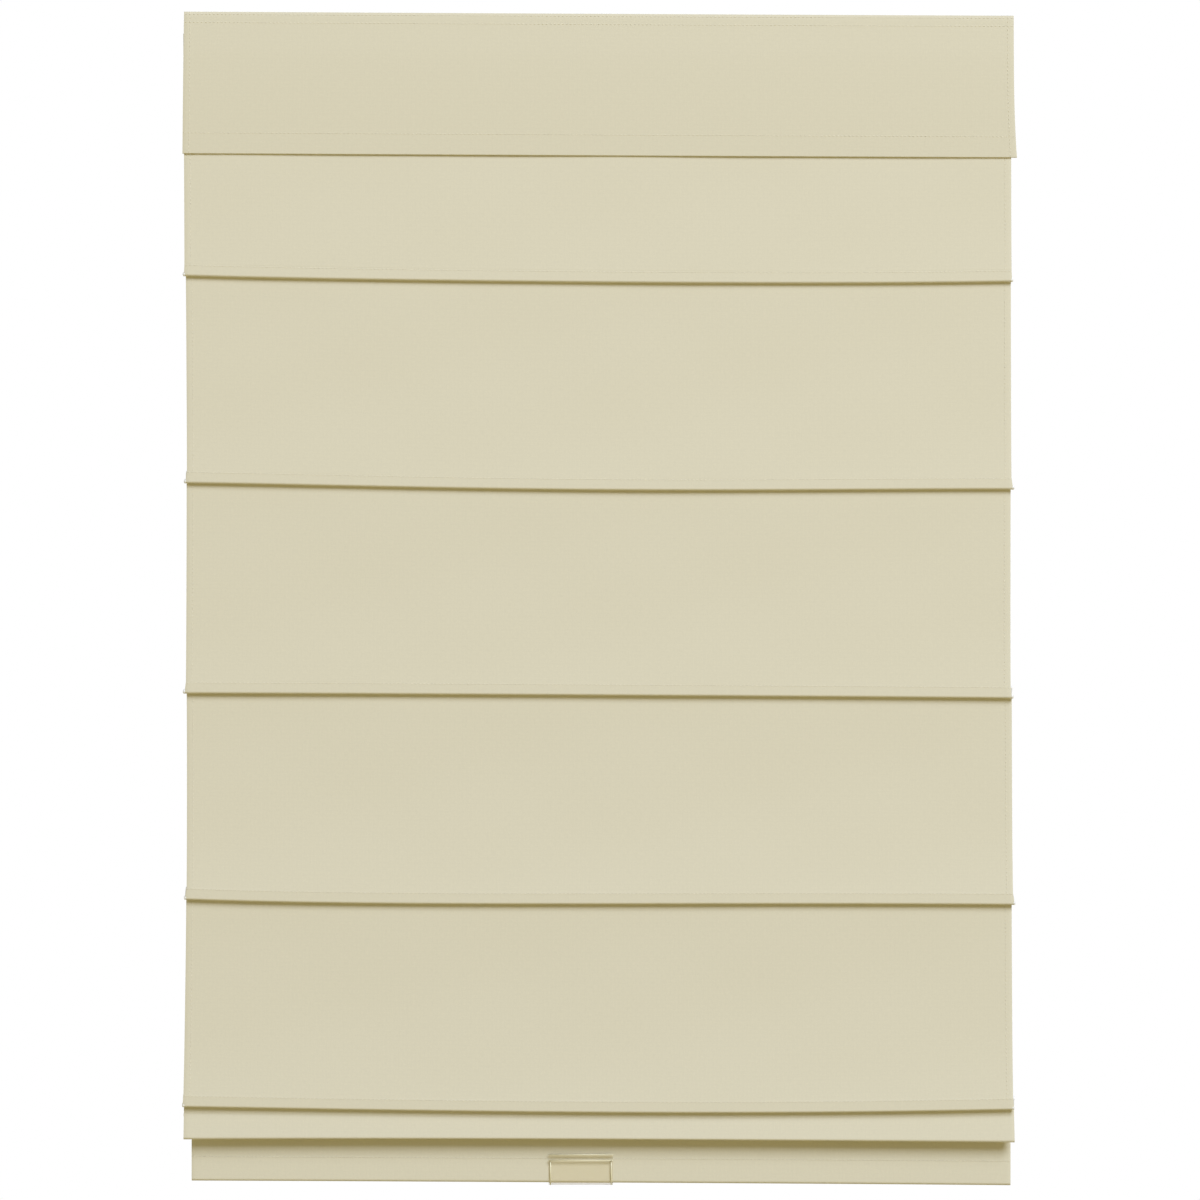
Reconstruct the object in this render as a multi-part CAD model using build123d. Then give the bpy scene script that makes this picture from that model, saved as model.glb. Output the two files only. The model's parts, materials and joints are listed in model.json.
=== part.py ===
from build123d import *
from math import asin, atan2, cos, hypot, sin, sqrt, tau
import os

# Cordless roman blind, hung from a headrail and drawn as it hangs lowered.
# Frame: millimetres, X across the blind, Y to the rear (the front looks along -Y), Z up.
# The origin is on the top of the mounting brackets, above the lift shaft, midway across.
# The cloth's section is a line wrapped round rods and seams, as a belt runs over pulleys.

# Shade cloth: one lined sheet with sewn tucks that hold the rods
shade_width = 908.0
cloth_thickness = 1.0
layer_gap = 0.3
fold_count = 5
fold_pitch = 228.0
first_crease_drop = 292.5
tuck_depth = 12.0
tuck_bend_radius = 8.0
gather_drop = 33.0
gather_forward = 4.0
gather_bend_radius = 8.0
gather_bend_drop = 7.0
last_tuck_forward = 4.0
hem_drop = 47.0
hem_height = 27.0
hem_setback = 8.0
hem_strip_inset = 3.0
hem_turn_in = 2.0
shade_top_drop = 21.0
cloth_to_cord = 12.2

# Valance: a flat strip with a turned-up hem
valance_overhang = 3.0
valance_drop = 155.5
valance_top_drop = 0.5
valance_hem = 23.0
stack_clearance = 0.4

# Hook-and-loop tape, in pairs
tape_width = 12.5
tape_thickness = 1.2
tape_end_inset = 4.0
shade_tape_inset = 1.5

# Rods, their end tips and the eyelets that guide the lift cords
rod_radius = 1.5
rod_clearance = 0.2
rod_end_reach = 1.6
tip_radius = 2.5
tip_length = 2.8
tip_gap = 0.2
tip_round = 0.9
guide_pad_width = 13.0
guide_pad_height = 10.0
guide_pad_thickness = 1.5
guide_gap = 0.2
guide_ring_radius = 4.0
guide_ring_wire = 1.2
guide_neck_width = 4.0
guide_neck_height = 2.4
sew_hole_radius = 0.9
sew_hole_share = 0.3

# Lift cords and their lower ends
cord_radius = 0.7
cord_end_inset = 154.0
cord_wrap_gap = 0.05
cord_bore_clearance = 0.2
cord_tail = 4.0
anchor_drop = 8.0
anchor_radius = 2.6
anchor_height = 6.0
toggle_radius = 2.9
toggle_height = 8.0
toggle_round = 1.0
lift_rod_drop = 20.0

# Headrail: an aluminium channel, open on top between two lips
wall = 1.5
headrail_height = 40.0
headrail_rear = 27.0
lip_width = 9.0
front_land_height = 17.0
corner_round = 0.6
end_cap_plate = 3.0
end_cap_plug = 8.0
end_cap_wall = 2.0
slip_gap = 0.2

# Mounting brackets: bent steel strip
bracket_thickness = 1.5
bracket_width = 34.0
bracket_end_inset = 121.0
bracket_rear_gap = 4.0
bracket_leg_height = 32.0
hook_reach = 6.5
hook_gap = 0.15
rear_hook_width = 12.0
screw_radius = 2.3
ceiling_hole_spacing = 16.0
wall_hole_spacing = 14.0
wall_hole_drop = 15.0

# Lift shaft, spools and the cradles that carry them
shaft_flats = 6.0
shaft_bore_gap = 0.05
shaft_end_reach = 10.0
spool_radius = 9.0
spool_flange_radius = 12.5
spool_flange = 1.5
spool_winding = 26.0
spool_running_gap = 0.5
journal_radius = 5.0
journal_gap = 0.06
journal_reach = 1.0
cradle_base = 2.0
cradle_wall = 3.0
cradle_side = 14.5
cradle_floor_gap = 1.0
cradle_head = 8.0
snout_radius = 3.0
snout_bore_radius = 1.5
snout_reach = 2.5
collar_radius = 6.5
collar_length = 6.0
collar_gap = 0.3

# Spring motor: one steel ribbon between two drums, in a case
motor_x = 150.0
motor_wall = 1.8
motor_centre_distance = 15.0
motor_front = 13.0
motor_head_gap = 3.5
output_core_radius = 5.0
output_flange_radius = 10.0
output_flange = 1.2
ribbon_width = 20.0
ribbon_side_gap = 0.2
ribbon_thickness = 0.2
ribbon_core_gap = 0.05
output_pack = 4.0
storage_core_radius = 4.0
storage_pack = 0.6
storage_axle_radius = 2.5
storage_end_gap = 0.4
cover_lip = 2.0

# Bottom bar and pull handle
bar_height = 20.0
bar_thickness = 3.2
bar_clearance = 0.3
bar_edge_round = 1.4
bar_cap_length = 3.0
handle_width = 71.0
handle_offset = -19.0
handle_wall = 1.6
handle_gap = 0.2
handle_height = 34.0
handle_bead_radius = 3.2
handle_back_height = 20.0

# Cuts run past the faces that they open by this much
overrun = 1.0

# Heights
bracket_top = 0.0
headrail_top = bracket_top - bracket_thickness
headrail_bottom = headrail_top - headrail_height
headrail_floor = headrail_bottom + wall
front_land_bottom = headrail_top - front_land_height
shaft_z = headrail_floor + cradle_base + cradle_floor_gap + spool_flange_radius
shade_top = bracket_top - shade_top_drop
valance_top = bracket_top - valance_top_drop
valance_bottom = valance_top - valance_drop
creases = [bracket_top - first_crease_drop - fold_pitch * k for k in range(fold_count)]
seams = [crease + tuck_depth for crease in creases]
gather_crease = creases[-1] - gather_drop
shade_bottom = gather_crease - hem_drop
lift_rod_z = seams[-1] - lift_rod_drop
anchor_z = lift_rod_z - anchor_drop

# Depths, from the lift shaft's axis at zero to the front
half_cloth = cloth_thickness / 2
layer_pitch = cloth_thickness + layer_gap
pocket_radius = rod_radius + rod_clearance + half_cloth
cord_y = -(spool_radius + cord_wrap_gap + cord_radius)
cloth_y = cord_y - cloth_to_cord
panel_top_y = cloth_y + layer_pitch
panel_seam_y = cloth_y - layer_pitch
rod_y = cloth_y - pocket_radius
tuck_front = rod_y - pocket_radius - half_cloth
# The gathered fold behind pushes the last tuck forward
tuck_forward = [0.0] * (fold_count - 1) + [last_tuck_forward]
hem_y = cloth_y + hem_setback
lift_rod_y = hem_y - pocket_radius
bar_turn_radius = bar_thickness / 2 + bar_clearance + half_cloth
bar_y = hem_y + bar_turn_radius
shade_land = cloth_y + half_cloth + 2 * tape_thickness
valance_back = tuck_front - stack_clearance - cloth_thickness
front_land = valance_back + 2 * tape_thickness
rod_heights = [crease + half_cloth + pocket_radius for crease in creases]

# Places across the blind
headrail_length = shade_width - 2 * end_cap_plate
cord_spacing = shade_width / 2 - cord_end_inset
cord_places = {"left": -cord_spacing, "centre": 0.0, "right": cord_spacing}
bracket_x = headrail_length / 2 - bracket_end_inset
valance_width = shade_width + 2 * valance_overhang
hem_width = shade_width - 2 * hem_strip_inset
spool_half = spool_winding / 2 + spool_flange
cradle_half = spool_half + spool_running_gap + cradle_wall


def across(outline, width, middle=0.0):
    """A section drawn as (y, z) points, carried the given width along X."""
    face = Plane.YZ.offset(middle - width / 2) * Polygon(*outline, align=None)
    return extrude(face, width)


def block(x, y, z):
    """A box between three (low, high) pairs."""
    size = [high - low for low, high in (x, y, z)]
    centre = [(high + low) / 2 for low, high in (x, y, z)]
    return Pos(*centre) * Box(*size)


def bar_along_x(radius, length, y, z, middle=0.0):
    """A round bar along X."""
    return Pos(middle, y, z) * Rot(0, 90, 0) * Cylinder(radius, length)


def hex_along_x(flats, length, y, z, middle=0.0):
    """A six-sided bar along X, a flat on its top."""
    outline = RegularPolygon(flats / 2, 6, major_radius=False, rotation=30)
    return extrude(Plane.YZ.offset(middle - length / 2) * Pos(y, z) * outline, length)


def upright(radius, low, high, x, y):
    """A round bar along Z."""
    return Pos(x, y, (low + high) / 2) * Cylinder(radius, high - low)


def wrapped_line(wraps):
    """Lines and arcs of a sheet pulled over wraps (y, z, radius, turn), turn 1 anticlockwise.

    A straight run's heading puts each wrap's centre its radius to the left of the run
    for an anticlockwise wrap and to the right for a clockwise one.
    """
    leave, arrive = [], [None]
    for (y1, z1, r1, s1), (y2, z2, r2, s2) in zip(wraps, wraps[1:]):
        run_y, run_z = y2 - y1, z2 - z1
        heading = atan2(run_z, run_y) - asin((s2 * r2 - s1 * r1) / hypot(run_y, run_z))
        left_y, left_z = -sin(heading), cos(heading)
        leave.append((y1 - s1 * r1 * left_y, z1 - s1 * r1 * left_z))
        arrive.append((y2 - s2 * r2 * left_y, z2 - s2 * r2 * left_z))
    edges = []
    for k, start in enumerate(leave):
        y, z, radius, turn = wraps[k]
        if arrive[k] is not None and radius > 0:
            a = atan2(arrive[k][1] - z, arrive[k][0] - y)
            swept = turn * ((turn * (atan2(start[1] - z, start[0] - y) - a)) % tau)
            middle = (y + radius * cos(a + swept / 2), z + radius * sin(a + swept / 2))
            edges.append(ThreePointArc(arrive[k], middle, start))
        edges.append(Line(start, arrive[k + 1]))
    return edges


def shade_fabric():
    """The hanging sheet: flat panels, a tuck round each rod, a gathered fold and a bar hem."""
    seam_radius = layer_pitch / 2
    wraps = [(cloth_y, shade_top, 0.0, 1)]
    for forward, seam, rod_z in zip(tuck_forward, seams, rod_heights):
        wraps += [
            (panel_seam_y - forward - tuck_bend_radius, seam, tuck_bend_radius, -1),
            (rod_y - forward, rod_z, pocket_radius, 1),
            (cloth_y - forward + seam_radius, seam, seam_radius, -1),
        ]
    gather_bend_y = panel_top_y - last_tuck_forward - gather_bend_radius
    gather_bend_z = creases[-1] - gather_bend_drop
    hem_seam_z = shade_bottom + hem_height
    bar_corner_z = shade_bottom + cloth_thickness + bar_clearance + bar_height
    wraps += [
        (gather_bend_y, gather_bend_z, gather_bend_radius, -1),
        (cloth_y - gather_forward, gather_crease + half_cloth + pocket_radius, pocket_radius, 1),
        (lift_rod_y, lift_rod_z, pocket_radius, -1),
        (bar_y, shade_bottom + half_cloth + bar_turn_radius, bar_turn_radius, 1),
        (bar_y, bar_corner_z, bar_turn_radius, 1),
        (hem_y + layer_pitch, hem_seam_z + hem_turn_in, 0.0, 1),
    ]
    section = trace(wrapped_line(wraps), cloth_thickness)
    sheet = extrude(Plane.YZ.offset(-shade_width / 2) * section, shade_width)
    strip_y = (hem_y - cloth_thickness, headrail_rear)
    strip_z = (shade_bottom - overrun, lift_rod_z - pocket_radius)
    for side in (-1, 1):
        ends = sorted((side * hem_width / 2, side * (shade_width / 2 + overrun)))
        sheet -= block(ends, strip_y, strip_z)
    return sheet


def valance():
    """A flat strip of the same cloth, its lower edge turned up behind."""
    front = valance_back - cloth_thickness
    hem_back = valance_back + cloth_thickness
    hem_top = valance_bottom + valance_hem
    outline = [
        (front, valance_bottom), (hem_back, valance_bottom), (hem_back, hem_top),
        (valance_back, hem_top), (valance_back, valance_top), (front, valance_top),
    ]
    return across(outline, valance_width)


def tape(land, layer, top):
    """One strip of a hook-and-loop pair, the layer counted from the land it sits on."""
    rear = land - layer * tape_thickness
    length = headrail_length - 2 * tape_end_inset
    return block((-length / 2, length / 2), (rear - tape_thickness, rear), (top - tape_width, top))


def channel_outline(inset, top):
    """The headrail's outside, or with an inset its inside, as (y, z) points."""
    step_z = front_land_bottom + inset
    front, land, rear = front_land + inset, shade_land + inset, headrail_rear - inset
    bottom = headrail_bottom + inset
    return [(front, top), (front, step_z), (land, step_z), (land, bottom), (rear, bottom), (rear, top)]


def headrail():
    """The channel, with a stepped front, inward lips and a hole in the floor for each cord."""
    rail = across(channel_outline(0.0, headrail_top), headrail_length)
    rail = fillet(rail.edges().filter_by(Axis.X), corner_round)
    cut_length = headrail_length + 2 * overrun
    rail -= across(channel_outline(wall, headrail_top - wall), cut_length)
    slot = (front_land + lip_width, headrail_rear - lip_width)
    rail -= block((-cut_length / 2, cut_length / 2), slot, (headrail_top - wall - overrun, headrail_top + overrun))
    for x in cord_places.values():
        rail -= upright(snout_radius + slip_gap, headrail_bottom - overrun, headrail_floor + overrun, x, cord_y)
    return rail


def end_cap(side):
    """A plate over the channel's end with a hollow plug that slips inside."""
    plate_middle = side * (headrail_length / 2 + end_cap_plate / 2)
    plug_middle = side * (headrail_length / 2 - end_cap_plug / 2)
    cap = across(channel_outline(0.0, headrail_top), end_cap_plate, plate_middle)
    plug_inset = wall + slip_gap
    core_inset = plug_inset + end_cap_wall
    plug = across(channel_outline(plug_inset, headrail_top - plug_inset), end_cap_plug, plug_middle)
    core = across(channel_outline(core_inset, headrail_top - core_inset), end_cap_plug, plug_middle)
    return cap + (plug - core)


def bracket(x):
    """A bent strip over the lips, hooked under both, with holes for a ceiling or a wall."""
    half = bracket_width / 2
    plate_bottom = bracket_top - bracket_thickness
    hook_top = headrail_top - wall - hook_gap
    hook_bottom = hook_top - bracket_thickness
    leg_front = front_land + lip_width + hook_gap
    leg_back = headrail_rear - lip_width - hook_gap
    rear_face = headrail_rear + bracket_rear_gap
    rear_outer = rear_face + bracket_thickness
    wide = (x - half, x + half)
    narrow = (x - rear_hook_width / 2, x + rear_hook_width / 2)
    strip = block(wide, (leg_front, rear_outer), (plate_bottom, bracket_top))
    strip += block(wide, (rear_face, rear_outer), (bracket_top - bracket_leg_height, bracket_top))
    strip += block(wide, (leg_front, leg_front + bracket_thickness), (hook_bottom, bracket_top))
    strip += block(wide, (leg_front - hook_reach, leg_front + bracket_thickness), (hook_bottom, hook_top))
    strip += block(narrow, (leg_back - bracket_thickness, leg_back), (hook_bottom, bracket_top))
    strip += block(narrow, (leg_back - bracket_thickness, leg_back + hook_reach), (hook_bottom, hook_top))
    for step in (-1, 1):
        ceiling_y = step * ceiling_hole_spacing / 2
        strip -= upright(screw_radius, plate_bottom - overrun, bracket_top + overrun, x, ceiling_y)
        wall_z = bracket_top - wall_hole_drop + step * wall_hole_spacing / 2
        hole_length = bracket_thickness + 2 * overrun
        hole = Pos(x, (rear_face + rear_outer) / 2, wall_z) * Rot(90, 0, 0)
        strip -= hole * Cylinder(screw_radius, hole_length)
    return strip


def rod(y, z):
    """A glass-fibre rod that reaches into a tip at each end."""
    return bar_along_x(rod_radius, shade_width + 2 * (tip_gap + rod_end_reach), y, z)


def rod_tips(y, z):
    """The two round tips pressed on a rod's ends."""
    tips = []
    for side in (-1, 1):
        middle = side * (shade_width / 2 + tip_gap + tip_length / 2)
        tip = bar_along_x(tip_radius, tip_length, y, z, middle)
        outer = tip.edges().sort_by(Axis.X)[0 if side < 0 else -1]
        tips.append(fillet(outer, tip_round) - rod(y, z))
    return Compound(children=tips)


def cord_guide(x, seam, forward):
    """A sewn pad with an upright eyelet that the lift cord runs through."""
    pad_front = panel_top_y - forward + half_cloth + guide_gap
    pad_back = pad_front + guide_pad_thickness
    half_width, half_height = guide_pad_width / 2, guide_pad_height / 2
    pad = block((x - half_width, x + half_width), (pad_front, pad_back), (seam - half_height, seam + half_height))
    for side in (-1, 1):
        hole = Pos(x + side * guide_pad_width * sew_hole_share, pad_front, seam) * Rot(90, 0, 0)
        pad -= hole * Cylinder(sew_hole_radius, 2 * (guide_pad_thickness + overrun))
    neck_end = cord_y - guide_ring_radius
    half_neck, half_neck_height = guide_neck_width / 2, guide_neck_height / 2
    neck = block((x - half_neck, x + half_neck), (pad_back, neck_end), (seam - half_neck_height, seam + half_neck_height))
    ring = Pos(x, cord_y, seam) * Torus(guide_ring_radius, guide_ring_wire)
    return pad + neck + ring


def cord_guides(seam, forward):
    """The eyelets of one tuck, one for each lift cord."""
    return Compound(children=[cord_guide(x, seam, forward) for x in cord_places.values()])


def cord_anchor(x):
    """The pad behind the lift rod that a cord passes through and is stopped under."""
    low, high = anchor_z - anchor_height / 2, anchor_z + anchor_height / 2
    pad_front = hem_y + half_cloth + guide_gap
    pad = block(
        (x - guide_pad_width / 2, x + guide_pad_width / 2),
        (pad_front, pad_front + guide_pad_thickness),
        (low, high),
    )
    eye = upright(anchor_radius, low, high, x, cord_y)
    web = block((x - anchor_radius, x + anchor_radius), (pad_front + guide_pad_thickness / 2, cord_y), (low, high))
    bore = upright(cord_radius + cord_bore_clearance, low - overrun, high + overrun, x, cord_y)
    return pad + web + eye - bore


def cord_toggle(x):
    """The bead on a cord's lower end, seated under its anchor."""
    high = anchor_z - anchor_height / 2
    low = high - toggle_height
    bead = fillet(upright(toggle_radius, low, high, x, cord_y).edges(), toggle_round)
    return bead - upright(cord_radius + cord_bore_clearance, low - overrun, high + overrun, x, cord_y)


def lift_cord(x):
    """A taut cord from the front of its spool down to just below its toggle."""
    low = anchor_z - anchor_height / 2 - toggle_height - cord_tail
    return upright(cord_radius, low, shaft_z, x, cord_y)


def drum(x, core, flange, flange_width, winding, journal, journal_length):
    """A winding core between two flanges, with a journal at each end."""
    turned = bar_along_x(core, winding, 0.0, shaft_z, x)
    for side in (-1, 1):
        place = x + side * (winding / 2 + flange_width / 2)
        turned += bar_along_x(flange, flange_width, 0.0, shaft_z, place)
    return turned + bar_along_x(journal, journal_length, 0.0, shaft_z, x)


def spool(x):
    """A drum that winds one cord, driven by the shaft through a six-sided bore."""
    length = 2 * (cradle_half + journal_reach)
    turned = drum(x, spool_radius, spool_flange_radius, spool_flange, spool_winding, journal_radius, length)
    return turned - hex_along_x(shaft_flats + 2 * shaft_bore_gap, length + 2 * overrun, 0.0, shaft_z, x)


def open_bearing(radius, thickness, x, y, top):
    """The cut of a bearing that is round below and open above."""
    cut = bar_along_x(radius, thickness, y, shaft_z, x)
    return cut + block((x - thickness / 2, x + thickness / 2), (y - radius, y + radius), (shaft_z, top + overrun))


def cradle(x):
    """A base on the channel's floor, two open bearings and the snout that the cord leaves by."""
    base_top = headrail_floor + cradle_base
    ends = (x - cradle_half, x + cradle_half)
    body = block(ends, (shade_land + wall + slip_gap, headrail_rear - wall - slip_gap), (headrail_floor, base_top))
    head = shaft_z + cradle_head
    for side in (-1, 1):
        middle = x + side * (cradle_half - cradle_wall / 2)
        faces = (middle - cradle_wall / 2, middle + cradle_wall / 2)
        body += block(faces, (-cradle_side, cradle_side), (headrail_floor, head))
        body -= open_bearing(journal_radius + journal_gap, cradle_wall + 2 * slip_gap, middle, 0.0, head)
    body += upright(snout_radius, headrail_bottom - snout_reach, base_top, x, cord_y)
    return body - upright(snout_bore_radius, headrail_bottom - snout_reach - overrun, base_top + overrun, x, cord_y)


def shaft_length():
    """The shaft runs a little past the outer spools' collars."""
    return 2 * (cord_spacing + cradle_half + journal_reach + collar_gap + collar_length + shaft_end_reach)


def lift_shaft():
    """The six-sided steel shaft that turns every spool together."""
    return hex_along_x(shaft_flats, shaft_length(), 0.0, shaft_z)


def shaft_collars():
    """The two rings that keep the shaft from sliding endways."""
    collars = []
    for side in (-1, 1):
        place = side * (cord_spacing + cradle_half + journal_reach + collar_gap + collar_length / 2)
        ring = bar_along_x(collar_radius, collar_length, 0.0, shaft_z, place)
        bore = hex_along_x(shaft_flats + 2 * shaft_bore_gap, collar_length + 2 * overrun, 0.0, shaft_z, place)
        collars.append(ring - bore)
    return Compound(children=collars)


motor_half = ribbon_width / 2 + output_flange + spool_running_gap + motor_wall
motor_top = headrail_top - wall - motor_head_gap
motor_y = (-motor_front, headrail_rear - wall - slip_gap)
motor_x_range = (motor_x - motor_half, motor_x + motor_half)
motor_inner_x = (motor_x_range[0] + motor_wall, motor_x_range[1] - motor_wall)
motor_inner_y = (motor_y[0] + motor_wall, motor_y[1] - motor_wall)


def motor_case():
    """The spring motor's open box, with a bearing for each drum in its end walls."""
    case = block(motor_x_range, motor_y, (headrail_floor, motor_top))
    case -= block(motor_inner_x, motor_inner_y, (headrail_floor + motor_wall, motor_top + overrun))
    bearings = ((journal_radius, 0.0), (storage_axle_radius, motor_centre_distance))
    for side in (-1, 1):
        middle = motor_x + side * (motor_half - motor_wall / 2)
        for radius, y in bearings:
            case -= open_bearing(radius + journal_gap, motor_wall + 2 * slip_gap, middle, y, motor_top)
    return case


def motor_cover():
    """The lid that drops into the motor's case."""
    lid = block(motor_x_range, motor_y, (motor_top, motor_top + motor_wall))
    lip_x = (motor_inner_x[0] + slip_gap, motor_inner_x[1] - slip_gap)
    lip_y = (motor_inner_y[0] + slip_gap, motor_inner_y[1] - slip_gap)
    return lid + block(lip_x, lip_y, (motor_top - cover_lip, motor_top))


def output_drum():
    """The drum on the lift shaft that takes the ribbon as the blind is lowered."""
    length = 2 * (motor_half + journal_reach)
    turned = drum(
        motor_x, output_core_radius, output_flange_radius, output_flange,
        ribbon_width, journal_radius, length,
    )
    return turned - hex_along_x(shaft_flats + 2 * shaft_bore_gap, length + 2 * overrun, 0.0, shaft_z, motor_x)


def storage_drum():
    """The drum that the relaxed ribbon rolls back on, on its own short axle."""
    core = 2 * (motor_half - motor_wall - storage_end_gap)
    axle = 2 * (motor_half + journal_reach)
    turned = bar_along_x(storage_core_radius, core, motor_centre_distance, shaft_z, motor_x)
    return turned + bar_along_x(storage_axle_radius, axle, motor_centre_distance, shaft_z, motor_x)


def drive_spring():
    """The steel ribbon, wound on the output drum and led across to the storage drum.

    The crossing run is the inner tangent of the two rolls: its contact angle from the line
    between the axes has a cosine equal to the sum of the radii over the axes' distance.
    """
    output_inner = output_core_radius + ribbon_core_gap
    output_outer = output_inner + output_pack
    storage_inner = storage_core_radius + ribbon_core_gap
    storage_outer = storage_inner + storage_pack
    width = ribbon_width - 2 * ribbon_side_gap
    output_middle = output_outer - ribbon_thickness / 2
    storage_middle = storage_outer - ribbon_thickness / 2
    reach = (output_middle + storage_middle) / motor_centre_distance
    rise = sqrt(1 - reach**2)
    start = (output_middle * reach, shaft_z + output_middle * rise)
    end = (motor_centre_distance - storage_middle * reach, shaft_z - storage_middle * rise)
    run = trace(Line(start, end), ribbon_thickness)
    output_roll = Pos(0, shaft_z) * (Circle(output_outer) - Circle(output_inner))
    storage_roll = Pos(motor_centre_distance, shaft_z) * (Circle(storage_outer) - Circle(storage_inner))
    section = output_roll + storage_roll + run
    return extrude(Plane.YZ.offset(motor_x - width / 2) * section, width)


def bar_length_of(x_range):
    """A length of the bottom bar's rounded flat section, resting clear of the hem's turn."""
    low, high = x_range
    bar_middle = shade_bottom + cloth_thickness + bar_clearance + bar_height / 2
    section = Pos(bar_y, bar_middle) * RectangleRounded(bar_thickness, bar_height, bar_edge_round)
    return extrude(Plane.YZ.offset(low) * section, high - low)


def bottom_bar():
    """The flat steel weight in the hem."""
    half = hem_width / 2 - bar_cap_length
    return bar_length_of((-half, half))


def bar_end_cap(side):
    """The plastic plug that closes one end of the bar's hem."""
    ends = sorted((side * hem_width / 2, side * (hem_width / 2 - bar_cap_length)))
    cap = bar_length_of(ends)
    outer = cap.faces().sort_by(Axis.X)[0 if side < 0 else -1]
    return fillet(outer.edges(), corner_round)


def pull_handle():
    """A clear channel clipped round the hem, with a round bead along its front to pull by."""
    half = handle_width / 2
    low = shade_bottom - handle_gap - handle_wall
    front_back = hem_y - half_cloth - handle_gap
    front = front_back - handle_wall
    back_front = bar_y + bar_turn_radius + half_cloth + handle_gap
    back = back_front + handle_wall
    bead_z = low + handle_height - handle_bead_radius
    ends = (handle_offset - half, handle_offset + half)
    clip = block(ends, (front, front_back), (low, bead_z))
    clip += block(ends, (front, back), (low, low + handle_wall))
    clip += block(ends, (back_front, back), (low, low + handle_back_height))
    bead = bar_along_x(handle_bead_radius, handle_width, front, bead_z, handle_offset)
    behind = (front_back, front + 2 * handle_bead_radius)
    bead -= block(ends, behind, (bead_z - handle_bead_radius, bead_z + handle_bead_radius))
    return clip + bead


def pieces():
    """Every piece by its name."""
    valance_tape_top = headrail_top - (front_land_height - tape_width) / 2
    shade_tape_top = shade_top - shade_tape_inset
    made = {
        "headrail": headrail(),
        "valance": valance(),
        "valance_hook_tape": tape(front_land, 0, valance_tape_top),
        "valance_loop_tape": tape(front_land, 1, valance_tape_top),
        "shade_hook_tape": tape(shade_land, 0, shade_tape_top),
        "shade_loop_tape": tape(shade_land, 1, shade_tape_top),
        "shade_fabric": shade_fabric(),
        "lift_shaft": lift_shaft(),
        "shaft_collars": shaft_collars(),
        "motor_case": motor_case(),
        "motor_cover": motor_cover(),
        "output_drum": output_drum(),
        "storage_drum": storage_drum(),
        "drive_spring": drive_spring(),
        "lift_rod": rod(lift_rod_y, lift_rod_z),
        "lift_rod_tips": rod_tips(lift_rod_y, lift_rod_z),
        "bottom_bar": bottom_bar(),
        "pull_handle": pull_handle(),
    }
    for name, side in (("left", -1), ("right", 1)):
        made[f"end_cap_{name}"] = end_cap(side)
        made[f"bracket_{name}"] = bracket(side * bracket_x)
        made[f"bar_end_cap_{name}"] = bar_end_cap(side)
    for name, x in cord_places.items():
        made[f"spool_{name}"] = spool(x)
        made[f"spool_cradle_{name}"] = cradle(x)
        made[f"lift_cord_{name}"] = lift_cord(x)
        made[f"cord_anchor_{name}"] = cord_anchor(x)
        made[f"cord_toggle_{name}"] = cord_toggle(x)
    for number, (rod_z, seam, forward) in enumerate(zip(rod_heights, seams, tuck_forward), start=1):
        made[f"rod_{number}"] = rod(rod_y - forward, rod_z)
        made[f"rod_tips_{number}"] = rod_tips(rod_y - forward, rod_z)
        made[f"cord_guides_{number}"] = cord_guides(seam, forward)
    return made


os.makedirs("parts", exist_ok=True)
for piece_name, solid in pieces().items():
    export_step(solid, f"parts/{piece_name}.step")
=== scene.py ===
"""Cordless roman blind: the dressed model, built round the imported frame."""

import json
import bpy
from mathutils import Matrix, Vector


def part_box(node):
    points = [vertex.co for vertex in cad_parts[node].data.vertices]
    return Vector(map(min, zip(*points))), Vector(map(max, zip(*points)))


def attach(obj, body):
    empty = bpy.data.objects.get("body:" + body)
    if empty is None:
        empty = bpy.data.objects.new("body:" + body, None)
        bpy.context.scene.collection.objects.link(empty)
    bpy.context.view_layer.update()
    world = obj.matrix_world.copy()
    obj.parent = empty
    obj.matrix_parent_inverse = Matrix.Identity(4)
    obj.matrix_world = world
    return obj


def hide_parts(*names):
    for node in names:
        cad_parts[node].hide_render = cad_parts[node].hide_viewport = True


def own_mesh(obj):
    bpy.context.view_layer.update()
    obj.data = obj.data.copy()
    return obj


bl_info = {
    "name": "Roman Blind",
    "version": (1, 0, 0),
    "blender": (4, 5, 0),
    "location": "View3D > Sidebar > Roman Blind",
    "description": "Builds the cloth, stitching, rods, cords and handle of a cordless roman blind",
    "category": "Object",
}

import bpy
import numpy as np

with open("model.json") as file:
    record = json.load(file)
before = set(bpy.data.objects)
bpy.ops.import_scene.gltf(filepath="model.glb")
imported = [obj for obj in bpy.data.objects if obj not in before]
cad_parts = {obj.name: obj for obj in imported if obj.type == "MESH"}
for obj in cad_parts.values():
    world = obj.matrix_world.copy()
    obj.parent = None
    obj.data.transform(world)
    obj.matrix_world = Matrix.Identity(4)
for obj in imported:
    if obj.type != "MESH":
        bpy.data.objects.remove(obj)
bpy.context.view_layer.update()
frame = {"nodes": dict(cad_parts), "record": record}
MM = 0.001

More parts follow.
